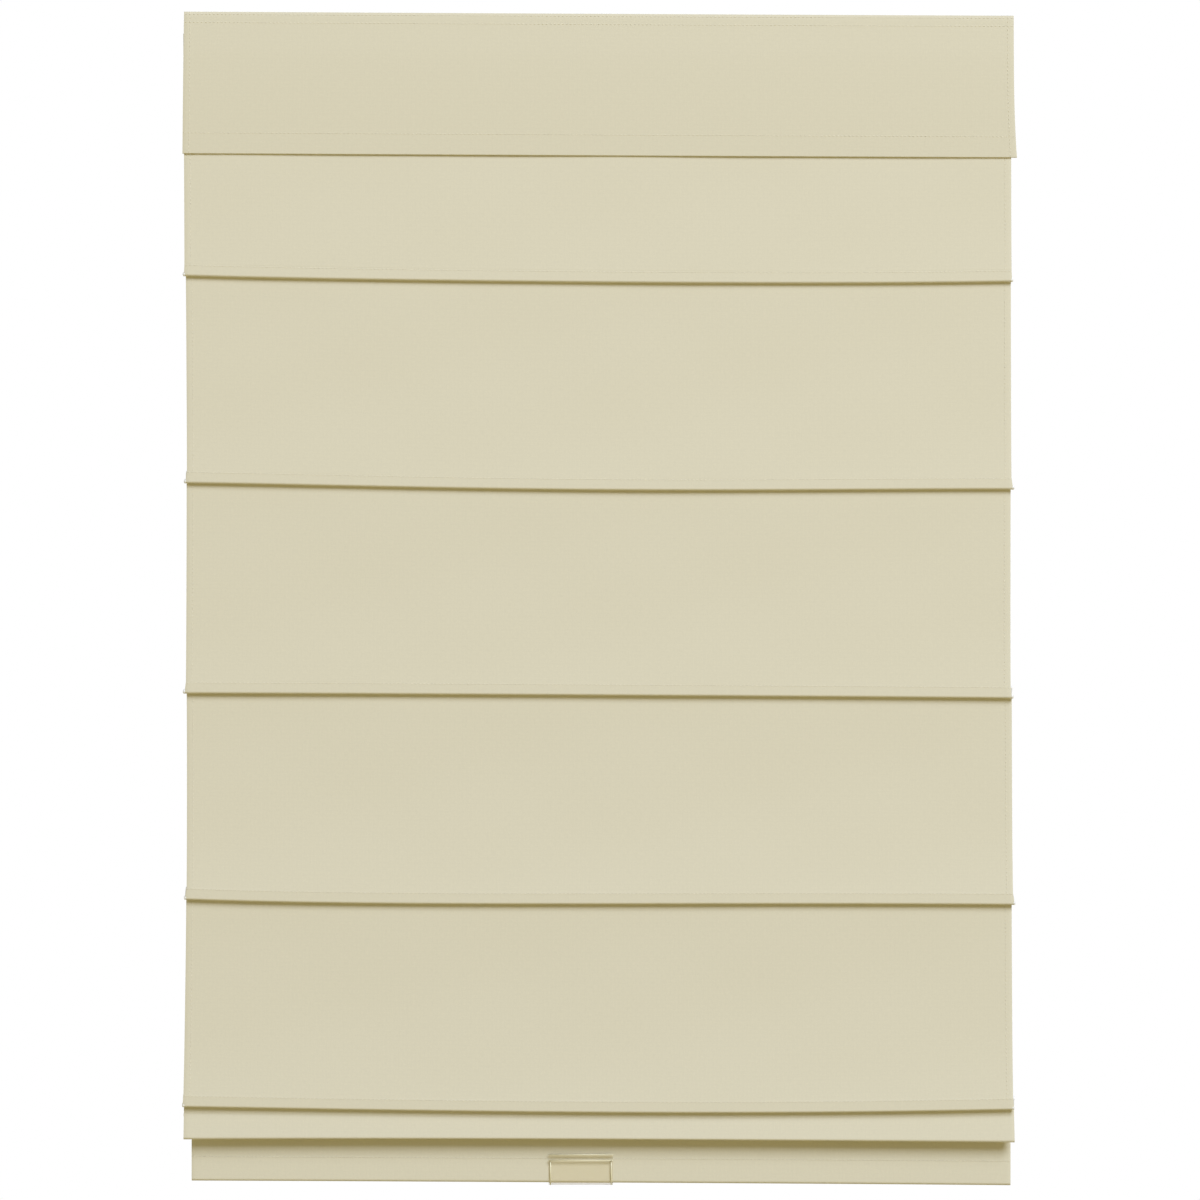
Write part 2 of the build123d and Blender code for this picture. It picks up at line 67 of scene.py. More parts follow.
# The cloth's section, in metres: the solid sheet's sizes, with its pockets, tucks and gather as they hang
FOLDS = 5
FOLD_PITCH = 228.0 * MM
FIRST_CREASE = -292.5 * MM
TUCK_DEPTH = 12.0 * MM
LAYER_PITCH = 1.3 * MM
TAIL_PITCH = 0.8 * LAYER_PITCH
POCKET_RADIUS = 1.9 * MM
HALF_CLOTH = 0.5 * MM
TUCK_BEND = 8.0 * MM
GATHER_DROP = 33.0 * MM
GATHER_FORWARD = 7.0 * MM
GATHER_BEND_DROP = 7.0 * MM
HEM_DROP = 47.0 * MM
HEM_HEIGHT = 27.0 * MM
HEM_TURN_IN = 2.0 * MM
HEM_SETBACK = 8.0 * MM
LIFT_ROD_DROP = 20.0 * MM
BAR_TURN = 2.4 * MM
BAR_EDGE = 1.4 * MM
BAR_TOP_RISE = 21.3 * MM
VALANCE_HEM = 23.0 * MM
# Depths of the two stitch rows that hold the valance's tape
TAPE_ROWS = np.array((2.8, 11.6)) * MM
CLOTH_Y = -21.95 * MM
CREASES = FIRST_CREASE - FOLD_PITCH * np.arange(FOLDS)
SEAMS = CREASES + TUCK_DEPTH
GATHER_CREASE = CREASES[-1] - GATHER_DROP
SHADE_BOTTOM = GATHER_CREASE - HEM_DROP
PANEL_TOP_BACK = 1.0 * MM
PANEL_TOP_Y = CLOTH_Y + PANEL_TOP_BACK
SEAM_LEAN = 2.2 * MM
SEAM_Y = CLOTH_Y - LAYER_PITCH - SEAM_LEAN
SEAM_TAIL = 6.0 * MM
SEAM_JOG = 0.4 * MM
SEAM_LAP = 1.0 * MM
LEAN_POWER = 2.5
# Slow waves of a panel: their height, and for each wave its turn across, its turn down and its share
BILLOW = 0.25 * MM
BILLOW_WAVES = ((7.0, 9.0, 1.0), (13.0, -5.0, 0.6))
BILLOW_FADE = 0.7
SIDE_HEM = 25.0 * MM
SIDE_HEM_THICKNESS = 0.5 * MM
SIDE_HEM_GAP = 0.02 * MM
BAR_ROW_RISE = 0.6 * MM
# The length below the lift rod over which the cloth narrows to the hem's width
DRAWN_IN = 6.0 * MM
ROD_Y = CLOTH_Y - POCKET_RADIUS
ROD_RISE = POCKET_RADIUS + HALF_CLOTH
HEM_Y = CLOTH_Y + HEM_SETBACK
# How far the strip over the gathered fold stands forward
STRIP_FORWARD = 7.0 * MM
STRIP_Y = CLOTH_Y + LAYER_PITCH - STRIP_FORWARD
# How far each tuck and each panel's top stand forward: the cloth bows out, and most at its foot
FORWARD = np.array((0.0, 0.6, 1.4, 5.0, 9.0)) * MM
TOP_FORWARD = np.array((0.0, 0.0, 0.0, 0.0, 3.2)) * MM
SHADE_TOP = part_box("shade_fabric")[1].z
HEADRAIL_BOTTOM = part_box("headrail")[0].z

# How far each crease hangs off its level line, at five places from its left end to its right end
CREASE_SAG = np.array([
    (4.3, -0.3, -2.9, -3.9, -2.0),
    (4.3, -0.1, -3.4, -3.5, -2.6),
    (0.9, 0.0, -1.3, -2.7, -4.5),
    (2.5, -2.1, -2.7, -2.5, -3.3),
    (3.2, -0.5, -3.0, -3.0, 0.3),
]) * MM
GATHER_SAG = np.array((0.0, 0.5, -0.1, -1.5, -3.3)) * MM
HEM_SAG = np.array((-1.3, -2.3, -3.5, -4.8, -6.5)) * MM
VALANCE_SAG = np.array((2.6, 1.4, 0.2, -0.9, -1.9)) * MM
LEVEL = np.zeros(5)

# How far the left and right edges stray to the right of plumb: each panel's top, then each panel's foot
TOP_STRAY = np.array([(-2.6, 0.8), (-0.1, 0.8), (0.9, 0.6), (0.9, 1.8), (1.0, 1.3)]) * MM
FOOT_STRAY = np.array([(-1.0, 1.0), (1.8, 0.8), (0.8, -0.2), (2.0, 1.9), (-1.0, 1.6)]) * MM
STRIP_STRAY = np.array((-1.2, 3.2)) * MM
GATHER_STRAY = np.array((-1.4, 3.8)) * MM
HEM_STRAY = np.array((2.5, 4.3)) * MM
VALANCE_STRAY = np.array((2.0, -0.3)) * MM
# How far each tuck's edges stand out over the rod's tips
TIP_FLARE = np.array((0.6, 2.1, 1.7, 2.4, 1.3)) * MM
OUTWARD = np.array((-1.0, 1.0))

# A rod tip's half section, as shares of its length and radius: three points of the bore, then the outside
TIP_PROFILE = np.array([
    (0.55, 0.0), (0.55, 1.0), (0.0, 1.0), (0.0, 0.86), (0.04, 0.94), (0.14, 1.0), (0.5, 1.0),
    (0.68, 0.97), (0.82, 0.86), (0.93, 0.66), (0.99, 0.36), (1.0, 0.0),
])
BORE_POINTS = 3
TIP_GAP = 0.2 * MM
TIP_BORE_GAP = 0.02 * MM

# The stage, in metres: the picture's middle, the key lamp and the floor
PICTURE_MIDDLE = (2.2 * MM, -25.0 * MM, -644.6 * MM)
KEY_PLACE = np.array((7.0, -13.4, 12.6))
KEY_AIM = np.array((0.0, 0.0, -1.2))
KEY_SIDE = 10.4
FLOOR_REACH = 2.4
FLOOR_Z = -2.2
FLOOR_POINTS = 9

# Points along a stitch row across the cloth and one down the valance's side, and rows of the top band
ACROSS_POINTS = 61
SIDE_POINTS = 40
BAND_ROWS = 8

# A wave texture of this scale has one band to each unit of its vector
BAND_SCALE = 0.31
WHITE = (1.0, 1.0, 1.0, 1.0)


class ClothSettings(bpy.types.PropertyGroup):
    """Sizes and colours of the valance and the shade."""

    shade_width: bpy.props.FloatProperty(
        name="Shade width", description="Width of the shade across its side hems",
        default=0.908, min=0.1, unit="LENGTH")
    hem_width: bpy.props.FloatProperty(
        name="Hem width", description="Width of the weighted strip at the foot",
        default=0.902, min=0.1, unit="LENGTH")
    valance_width: bpy.props.FloatProperty(
        name="Valance width", description="Width of the strip across the top",
        default=0.914, min=0.1, unit="LENGTH")
    thickness: bpy.props.FloatProperty(
        name="Thickness", description="Thickness of the lined cloth",
        default=0.00095, min=0.0001, unit="LENGTH")
    corner_flare: bpy.props.FloatProperty(
        name="Corner flare", description="How far the valance's right corner stands out",
        default=0.0040, unit="LENGTH")
    valance_lean: bpy.props.FloatProperty(
        name="Valance lean", description="How far the valance's lower edge leans back to the shade",
        default=0.0040, unit="LENGTH")
    columns: bpy.props.IntProperty(
        name="Columns", description="Grid steps across the cloth", default=180, min=8)
    face_hex: bpy.props.StringProperty(
        name="Cloth colour", description="sRGB hex colour of the woven face", default="D6CFB4")
    lining_hex: bpy.props.StringProperty(
        name="Lining colour", description="sRGB hex colour of the lining behind", default="E6E3DA")
    thread_hex: bpy.props.StringProperty(
        name="Thread colour", description="sRGB hex colour of the sewing thread", default="E4DDC5")


class StitchSettings(bpy.types.PropertyGroup):
    """Sizes of the sewing."""

    pitch: bpy.props.FloatProperty(
        name="Pitch", description="Distance from one stitch to the next",
        default=0.0044, min=0.0005, unit="LENGTH")
    length: bpy.props.FloatProperty(
        name="Length", description="Length of one stitch on the face",
        default=0.0028, min=0.0005, unit="LENGTH")
    thread: bpy.props.FloatProperty(
        name="Thread", description="Radius of the sewing thread",
        default=0.00024, min=0.00005, unit="LENGTH")
    side_inset: bpy.props.FloatProperty(
        name="Side inset", description="Distance of the side rows from the cloth's edge",
        default=0.0068, min=0.0, unit="LENGTH")


class HardwareSettings(bpy.types.PropertyGroup):
    """Colours of the rail, plastics, rods and cords, and how thick rods and cords are."""

    rail_hex: bpy.props.StringProperty(
        name="Rail colour", description="sRGB hex colour of the powder coat", default="E4E2DB")
    plastic_hex: bpy.props.StringProperty(
        name="Plastic colour", description="sRGB hex colour of the moulded parts", default="E9E7DF")
    cord_hex: bpy.props.StringProperty(
        name="Cord colour", description="sRGB hex colour of the lift cords", default="E8E4D6")
    rod_hex: bpy.props.StringProperty(
        name="Rod colour", description="sRGB hex colour of the glass-fibre rods", default="E4E3CE")
    handle_hex: bpy.props.StringProperty(
        name="Handle colour", description="sRGB hex tint of the clear handle", default="FAF7F0")
    rod_radius: bpy.props.FloatProperty(
        name="Rod radius", description="Radius of a rod", default=0.0014, min=0.0002, unit="LENGTH")
    cord_radius: bpy.props.FloatProperty(
        name="Cord radius", description="Radius of a lift cord", default=0.0007, min=0.0001, unit="LENGTH")


class StageSettings(bpy.types.PropertyGroup):
    """Camera, light and floor."""

    distance: bpy.props.FloatProperty(
        name="Camera distance", description="Distance of the camera from the shade",
        default=3.6, min=0.5, unit="LENGTH")
    frame_width: bpy.props.FloatProperty(
        name="Frame width", description="Width of the picture at the shade",
        default=1.3205, min=0.1, unit="LENGTH")
    key_power: bpy.props.FloatProperty(
        name="Key power", description="Power of the upper right lamp", default=5430.0, min=0.0, unit="POWER")
    key_hex: bpy.props.StringProperty(
        name="Key colour", description="sRGB hex colour of the key lamp", default="DBE3F9")
    fill: bpy.props.FloatProperty(
        name="Fill", description="Brightness of the fill from the front and above", default=0.15, min=0.0)
    low_fill: bpy.props.FloatProperty(
        name="Low fill", description="Brightness of the fill from the front and below", default=0.76, min=0.0)
    low_fill_hex: bpy.props.StringProperty(
        name="Low fill colour", description="sRGB hex colour of the fill from below", default="FFEFB2")
    back_light: bpy.props.FloatProperty(
        name="Back light", description="Brightness of the light from behind", default=0.85, min=0.0)
    floor_hex: bpy.props.StringProperty(
        name="Floor colour", description="sRGB hex colour of the floor", default="EFE8DA")


def colour(code):
    """Linear colour of an sRGB hex code: c/12.92, or ((c + 0.055)/1.055)^2.4 above 0.04045."""
    channels = np.array([int(code[k:k + 2], 16) for k in (0, 2, 4)]) / 255
    linear = np.where(channels > 0.04045, ((channels + 0.055) / 1.055) ** 2.4, channels / 12.92)
    return (*linear.tolist(), 1.0)


def add(tree, kind, settings=None, inputs=None):
    """Adds a node, sets its properties, and sets or links its inputs: a link is (node, output)."""
    made = tree.nodes.new(kind)
    for name, value in (settings or {}).items():
        setattr(made, name, value)
    for name, value in (inputs or {}).items():
        if isinstance(value, tuple) and isinstance(value[0], bpy.types.Node):
            tree.links.new(value[0].outputs[value[1]], made.inputs[name])
        else:
            made.inputs[name].default_value = value
    return made


def blank(name):
    """A new material with an empty node tree."""
    material = bpy.data.materials.new(name)
    material.use_nodes = True
    material.node_tree.nodes.clear()
    return material, material.node_tree


def finished(tree, shader):
    """Links a shader to the material's output."""
    add(tree, "ShaderNodeOutputMaterial", inputs={"Surface": (shader, 0)})


def dimmed(base, share):
    """A linear colour times a share."""
    return tuple(channel * share for channel in base[:3]) + (1.0,)


def shaded(code, spread):
    """A darker shade of an sRGB hex code, and a lighter one that is no brighter than white."""
    lighter = dimmed(colour(code), 1 + spread)
    return dimmed(colour(code), 1 - spread), tuple(min(channel, 1.0) for channel in lighter)


def woven_cloth(name, code, thread_pitch, spread, relief, roughness):
    """Plain-woven polyester and cotton: matte, with a fine grid of threads and uneven yarn.

    The threads of such cloth are about 0.5 mm apart, too fine to show, so the weave is drawn
    as coarse as thread_pitch. Warp and weft are two sine bands on the cloth's own UV map,
    which is in metres; slubs are noise drawn out along each yarn.
    """
    material, tree = blank(name)
    uv = add(tree, "ShaderNodeUVMap", {"uv_map": "cloth"})
    per_metre = 1 / thread_pitch
    grid = add(tree, "ShaderNodeMapping", inputs={"Vector": (uv, 0), "Scale": (per_metre,) * 3})
    bands = [
        add(tree, "ShaderNodeTexWave", {"bands_direction": axis, "wave_profile": "SIN"}, {
            "Vector": (grid, 0), "Scale": BAND_SCALE, "Distortion": 3.0, "Detail": 2.0, "Detail Scale": 1.6})
        for axis in ("X", "Y")
    ]
    weave = add(tree, "ShaderNodeMath", {"operation": "MULTIPLY"}, {0: (bands[0], 1), 1: (bands[1], 1)})
    slub_length, slub_width = 6.25 * MM, MM / 0.9
    slubs = []
    for right, up in ((slub_length, slub_width), (slub_width, slub_length)):
        drawn_out = add(tree, "ShaderNodeMapping", inputs={
            "Vector": (uv, 0), "Scale": (1 / right, 1 / up, 1.0)})
        slubs.append(add(tree, "ShaderNodeTexNoise", {"noise_dimensions": "2D"}, {
            "Vector": (drawn_out, 0), "Scale": 1.0, "Detail": 2.0, "Roughness": 0.6}))
    yarn = add(tree, "ShaderNodeMath", {"operation": "ADD"}, {0: (slubs[0], 0), 1: (slubs[1], 0)})
    yarn_half = add(tree, "ShaderNodeMath", {"operation": "MULTIPLY"}, {0: (yarn, 0), 1: 0.5})
    weave_share = 0.12
    height = add(tree, "ShaderNodeMix", {"data_type": "FLOAT"}, {
        0: weave_share, 2: (yarn_half, 0), 3: (weave, 0)})
    tone = add(tree, "ShaderNodeMapRange", {"clamp": True}, {
        "Value": (height, 0), "From Min": 0.25, "From Max": 0.65, "To Min": 0.0, "To Max": 1.0})
    dark, light = shaded(code, spread)
    tint = add(tree, "ShaderNodeMix", {"data_type": "RGBA"}, {0: (tone, 0), 6: dark, 7: light})
    bump = add(tree, "ShaderNodeBump", inputs={"Strength": 0.5, "Distance": relief, "Height": (height, 0)})
    shader = add(tree, "ShaderNodeBsdfPrincipled", inputs={
        "Base Color": (tint, 2), "Roughness": roughness, "Sheen Weight": 0.08, "Sheen Roughness": 0.5,
        "Specular IOR Level": 0.2, "Normal": (bump, 0)})
    finished(tree, shader)
    return material


def sewing_thread(name, code):
    """Spun polyester thread: two twisted plies, slightly glossy, with painted shade where it dips into a
    needle hole.
    """
    material, tree = blank(name)
    coords = add(tree, "ShaderNodeTexCoord")
    ply_pitch = 0.4 * MM
    plies = add(tree, "ShaderNodeTexWave", {"bands_direction": "DIAGONAL"}, {
        "Vector": (coords, "Object"), "Scale": BAND_SCALE / ply_pitch, "Distortion": 0.5})
    dark, light = shaded(code, spread=0.12)
    tint = add(tree, "ShaderNodeMix", {"data_type": "RGBA"}, {0: (plies, 1), 6: dark, 7: light})
    # painted shade: where the stitch dips into its needle hole, the thread is darkened to stand in for the
    # shade there
    painted_shade_share = add(tree, "ShaderNodeAttribute", {"attribute_name": "painted_needle_hole_shade"})
    painted_shade_dimming = 0.85
    hole = dimmed(colour(code), painted_shade_dimming)
    thread_with_painted_shade = add(tree, "ShaderNodeMix", {"data_type": "RGBA"}, {0: (painted_shade_share, "Fac"), 6: (tint, 2), 7: hole})
    shader = add(tree, "ShaderNodeBsdfPrincipled", inputs={"Base Color": (thread_with_painted_shade, 2), "Roughness": 0.6})
    finished(tree, shader)
    return material


def moulded_plastic(name, code, roughness, grit):
    """Injection-moulded polypropylene: satin, with a fine spark-eroded grain of the given size."""
    material, tree = blank(name)
    coords = add(tree, "ShaderNodeTexCoord")
    grain = add(tree, "ShaderNodeTexNoise", inputs={
        "Vector": (coords, "Object"), "Scale": 1 / grit, "Detail": 3.0, "Roughness": 0.6})
    dark, light = shaded(code, spread=0.03)
    tint = add(tree, "ShaderNodeMix", {"data_type": "RGBA"}, {0: (grain, 0), 6: dark, 7: light})
    gloss = add(tree, "ShaderNodeMapRange", inputs={
        "Value": (grain, 0), "To Min": roughness * 0.85, "To Max": roughness * 1.15})
    bump = add(tree, "ShaderNodeBump", inputs={"Strength": 0.25, "Distance": 0.05 * MM, "Height": (grain, 0)})
    shader = add(tree, "ShaderNodeBsdfPrincipled", inputs={
        "Base Color": (tint, 2), "Roughness": (gloss, 0), "IOR": 1.49, "Normal": (bump, 0)})
    finished(tree, shader)
    return material


def drawn_metal(name, code, roughness, line_pitch, metallic=1.0):
    """Metal with fine lines along X, as drawing, rolling or extruding leaves them."""
    material, tree = blank(name)
    coords = add(tree, "ShaderNodeTexCoord")
    across = 1 / line_pitch
    line_stretch = 60
    stretch = add(tree, "ShaderNodeMapping", inputs={
        "Vector": (coords, "Object"), "Scale": (across / line_stretch, across, across)})
    lines = add(tree, "ShaderNodeTexNoise", inputs={
        "Vector": (stretch, 0), "Scale": 1.0, "Detail": 4.0, "Roughness": 0.65})
    dark, light = shaded(code, spread=0.07)
    tint = add(tree, "ShaderNodeMix", {"data_type": "RGBA"}, {0: (lines, 0), 6: dark, 7: light})
    gloss = add(tree, "ShaderNodeMapRange", inputs={
        "Value": (lines, 0), "To Min": roughness * 0.8, "To Max": roughness * 1.2})
    bump = add(tree, "ShaderNodeBump", inputs={"Strength": 0.15, "Distance": 0.03 * MM, "Height": (lines, 0)})
    shader = add(tree, "ShaderNodeBsdfPrincipled", inputs={
        "Base Color": (tint, 2), "Metallic": metallic, "Roughness": (gloss, 0), "Normal": (bump, 0)})
    finished(tree, shader)
    return material


def napped_tape(name, code):
    """Nylon hook-and-loop tape: a dense mat of small loops, rough and matte."""
    material, tree = blank(name)
    coords = add(tree, "ShaderNodeTexCoord")
    loop_pitch = 0.9 * MM
    loops = add(tree, "ShaderNodeTexVoronoi", inputs={"Vector": (coords, "Object"), "Scale": 1 / loop_pitch})
    dark, light = shaded(code, spread=0.10)
    tint = add(tree, "ShaderNodeMix", {"data_type": "RGBA"}, {0: (loops, 0), 6: light, 7: dark})
    bump = add(tree, "ShaderNodeBump", inputs={"Strength": 0.6, "Distance": 0.3 * MM, "Height": (loops, 0)})
    shader = add(tree, "ShaderNodeBsdfPrincipled", inputs={
        "Base Color": (tint, 2), "Roughness": 0.9, "Sheen Weight": 0.2, "Normal": (bump, 0)})
    finished(tree, shader)
    return material


def braided_cord(name, code):
    """Braided polyester cord: two families of strands that cross, on the cord's own UV map."""
    material, tree = blank(name)
    uv = add(tree, "ShaderNodeUVMap", {"uv_map": "cord"})
    strand_pitch = 1.2 * MM
    strand_lean = 0.6
    families = []
    for lean in (strand_lean, -strand_lean):
        leaning = add(tree, "ShaderNodeMapping", inputs={
            "Vector": (uv, 0), "Rotation": (0.0, 0.0, lean), "Scale": (1 / strand_pitch,) * 3})
        families.append(add(tree, "ShaderNodeTexWave", {"bands_direction": "X"}, {
            "Vector": (leaning, 0), "Scale": BAND_SCALE}))
    strands = add(tree, "ShaderNodeMath", {"operation": "MAXIMUM"}, {
        0: (families[0], 1), 1: (families[1], 1)})
    dark, light = shaded(code, spread=0.12)
    tint = add(tree, "ShaderNodeMix", {"data_type": "RGBA"}, {0: (strands, 0), 6: dark, 7: light})
    bump = add(tree, "ShaderNodeBump", inputs={"Strength": 0.6, "Distance": 0.1 * MM, "Height": (strands, 0)})
    shader = add(tree, "ShaderNodeBsdfPrincipled", inputs={
        "Base Color": (tint, 2), "Roughness": 0.7, "Normal": (bump, 0)})
    finished(tree, shader)
    return material


def clear_polycarbonate(name, code):
    """Clear moulded polycarbonate: polished faces with a faint flow haze, IOR 1.58."""
    material, tree = blank(name)
    coords = add(tree, "ShaderNodeTexCoord")
    flow_width = 14.0 * MM
    haze = add(tree, "ShaderNodeTexNoise", inputs={
        "Vector": (coords, "Object"), "Scale": 1 / flow_width, "Detail": 2.0})
    gloss = add(tree, "ShaderNodeMapRange", inputs={"Value": (haze, 0), "To Min": 0.02, "To Max": 0.10})
    shader = add(tree, "ShaderNodeBsdfPrincipled", inputs={
        "Base Color": colour(code), "Roughness": (gloss, 0), "IOR": 1.58, "Transmission Weight": 1.0})
    finished(tree, shader)
    return material


def studio_floor(name, code):
    """Matte painted floor with a faint mottle."""
    material, tree = blank(name)
    coords = add(tree, "ShaderNodeTexCoord")
    mottle_size = 0.25
    mottle = add(tree, "ShaderNodeTexNoise", inputs={
        "Vector": (coords, "Object"), "Scale": 1 / mottle_size, "Detail": 3.0})
    dark, light = shaded(code, spread=0.01)
    tint = add(tree, "ShaderNodeMix", {"data_type": "RGBA"}, {0: (mottle, 0), 6: dark, 7: light})
    shader = add(tree, "ShaderNodeBsdfPrincipled", inputs={"Base Color": (tint, 2), "Roughness": 0.9})
    finished(tree, shader)
    return material


def made_once(name, maker, **look):
    """A material by name, made the first time that it is asked for."""
    return bpy.data.materials.get(name) or maker(name, **look)


def cloth_face():
    """The woven face."""
    return made_once("woven_polyester_cotton", woven_cloth, code=bpy.context.scene.blind_cloth.face_hex,
                     thread_pitch=4.6 * MM, spread=0.025, relief=0.12 * MM, roughness=0.85)


def cloth_lining():
    """The closer-woven lining behind."""
    return made_once("acrylic_backed_lining", woven_cloth, code=bpy.context.scene.blind_cloth.lining_hex,
                     thread_pitch=3.2 * MM, spread=0.02, relief=0.1 * MM, roughness=0.7)


def thread():
    """The sewing thread."""
    return made_once("spun_polyester_thread", sewing_thread, code=bpy.context.scene.blind_cloth.thread_hex)


def plastic():
    """The moulded plastic of the rod tips, spools, eyelets and plugs."""
    return made_once("moulded_polypropylene", moulded_plastic,
                     code=bpy.context.scene.blind_hardware.plastic_hex, roughness=0.4, grit=0.35 * MM)


def fibre():
    """The rods' glass fibre, whose drawn strands show as lines."""
    return made_once("pultruded_glass_fibre", drawn_metal, code=bpy.context.scene.blind_hardware.rod_hex,
                     roughness=0.3, line_pitch=0.25 * MM, metallic=0.0)


def placed(name, data):
    """A new object of that data, in the scene."""
    made = bpy.data.objects.new(name, data)
    bpy.context.scene.collection.objects.link(made)
    return made


def new_piece(name, points, faces, materials, body, uv=None, attribute=None, smooth=True):
    """A mesh object at the origin from arrays of points and faces, riding on a body.

    uv and attribute are a name and its values at the points.
    """
    mesh = bpy.data.meshes.new(name)
    mesh.from_pydata(np.asarray(points, float).tolist(), [], [list(face) for face in faces])
    if uv is not None:
        layer = mesh.uv_layers.new(name=uv[0])
        corners = np.zeros(len(mesh.loops), np.int32)
        mesh.loops.foreach_get("vertex_index", corners)
        layer.data.foreach_set("uv", np.asarray(uv[1], np.float32)[corners].ravel())
    if attribute is not None:
        held = mesh.attributes.new(attribute[0], "FLOAT", "POINT")
        held.data.foreach_set("value", np.asarray(attribute[1], np.float32))
    mesh.polygons.foreach_set("use_smooth", np.full(len(mesh.polygons), smooth))
    mesh.validate()
    mesh.update()
    piece = placed(name, mesh)
    for material in materials:
        mesh.materials.append(material)
    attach(piece, body)
    return piece


def grid_faces(rows, columns, start=0):
    """Quads of a grid whose points run along each row in turn; the normal is down-row times along-row."""
    corner = start + np.arange(rows - 1)[:, None] * columns + np.arange(columns - 1)[None, :]
    return np.stack([corner, corner + columns, corner + columns + 1, corner + 1], -1).reshape(-1, 4)


def tube_faces(rings, sides, start=0):
    """Quads of a tube whose points run round each ring in turn."""
    ring = np.arange(rings - 1)[:, None] * sides
    here = ring + np.arange(sides)
    after = ring + np.roll(np.arange(sides), -1)
    return start + np.stack([here, after, sides + after, sides + here], -1).reshape(-1, 4)


def capped_tubes(count, rings, sides):
    """Faces of like tubes that follow one another in a mesh: all their quads, then their two ends each."""
    end = np.arange(sides)
    first = np.arange(count)[:, None, None] * rings * sides
    caps = np.stack([end[::-1], end + (rings - 1) * sides])
    quads = tube_faces(rings, sides)
    return (first + quads).reshape(-1, 4).tolist() + (first + caps).reshape(-1, sides).tolist()


def ring_angles(sides):
    """Angles of points set evenly round a ring."""
    return np.linspace(0, 2 * np.pi, sides, endpoint=False)


def arc_length(line):
    """The length along a line of points, at each of them."""
    return np.concatenate([[0.0], np.cumsum(np.linalg.norm(np.diff(line, axis=0), axis=1))])


def sag_line(drops, across):
    """Height of a sagging line: the polynomial through drops set evenly from across -1 to across 1."""
    places = np.linspace(-1, 1, len(drops))
    return np.polyval(np.polyfit(places, drops, len(drops) - 1), across)


def along(length, marks, values):
    """Rows of values given at marks, run evenly between the marks, at each length."""
    return np.stack([np.interp(length, marks, column) for column in np.asarray(values, float).T], -1)


def wrapped_path(wraps, step):
    """Points (y, z) of a sheet pulled over wraps (y, z, radius, turn), and the length at each point and wrap.

    A straight run keeps each wrap's centre its radius to the left for an anticlockwise wrap,
    turn 1, and to the right for a clockwise one, turn -1. Wraps are arcs about their centres.
    """
    wraps = np.array(wraps, float)
    centre, radius, turn = wraps[:, :2], wraps[:, 2], wraps[:, 3]
    run = np.diff(centre, axis=0)
    signed = turn * radius
    lean = np.arcsin(np.diff(signed) / np.hypot(*run.T))
    heading = np.arctan2(run[:, 1], run[:, 0]) - lean
    left = np.stack([-np.sin(heading), np.cos(heading)], 1)
    leave = centre[:-1] - signed[:-1, None] * left
    arrive = centre[1:] - signed[1:, None] * left
    arc_step = 0.26
    points, marks = [leave[:1]], [0.0]
    for k in range(1, len(wraps)):
        straight = arrive[k - 1] - leave[k - 1]
        count = max(int(np.ceil(np.hypot(*straight) / step)), 1)
        points.append(leave[k - 1] + straight * np.linspace(0, 1, count + 1)[1:, None])
        marks.append(sum(len(part) for part in points))
        if k < len(wraps) - 1 and radius[k] > 0:
            first = arrive[k - 1] - centre[k]
            last = leave[k] - centre[k]
            start = np.arctan2(first[1], first[0])
            swept = turn[k] * ((turn[k] * (np.arctan2(last[1], last[0]) - start)) % (2 * np.pi))
            count = max(int(np.ceil(abs(swept) / arc_step)), 2)
            angles = start + swept * np.linspace(0, 1, count + 1)[1:, None]
            points.append(centre[k] + radius[k] * np.hstack([np.cos(angles), np.sin(angles)]))
            marks[-1] += count / 2
    points = np.concatenate(points)
    length = arc_length(points)
    return points, length, np.interp(marks, np.arange(1, len(length) + 1), length)


def cloth_grid(path, length, edges, hang, across, billow=0.0):
    """Points (row, column) of a sheet carried across X, at places across from -1 to 1.

    x runs evenly from the row's left edge to its right one. y is the path's, with slow waves of
    height billow that fade out at both ends of the path. z is the path's plus the sag, which runs
    evenly between the sag lines of hang, a list of (length, line).
    """
    left, right = np.broadcast_to(edges, (len(path), 2)).T[..., None]
    x = left + (right - left) * (across + 1) / 2
    share = (length / length[-1])[:, None]
    wave = sum(size * np.sin(over * across + down * share) for over, down, size in BILLOW_WAVES)
    y = path[:, :1] + billow * np.sin(np.pi * share) ** BILLOW_FADE * wave
    marks, lines = zip(*hang)
    z = path[:, 1:] + along(length, marks, [sag_line(line, across) for line in lines])
    return np.stack(np.broadcast_arrays(x, y, z), -1)


def thickened(piece, thickness):
    """Gives a sheet its thickness, with normals weighted to its broad faces, so that no rim darkens them."""
    wall = piece.modifiers.new("thickness", "SOLIDIFY")
    wall.thickness = thickness
    wall.offset = 0.0
    wall.material_offset = 1
    normals = piece.modifiers.new("broad_normals", "WEIGHTED_NORMAL")
    normals.weight = 75


def cloth_piece(name, path, length, edges, hang, body, billow=0.0):
    """A sheet of lined cloth, from cloth_grid, with its UV map in metres."""
    settings = bpy.context.scene.blind_cloth
    across = np.linspace(-1, 1, settings.columns + 1)
    grid = cloth_grid(path, length, edges, hang, across, billow)
    rows, columns = grid.shape[:2]
    down = np.broadcast_to(-length[:, None], (rows, columns))
    uv = np.stack([grid[..., 0], down], -1).reshape(-1, 2)
    piece = new_piece(name, grid.reshape(-1, 3), grid_faces(rows, columns), [cloth_face(), cloth_lining()],
                      body, ("cloth", uv))
    thickened(piece, settings.thickness)
    return piece


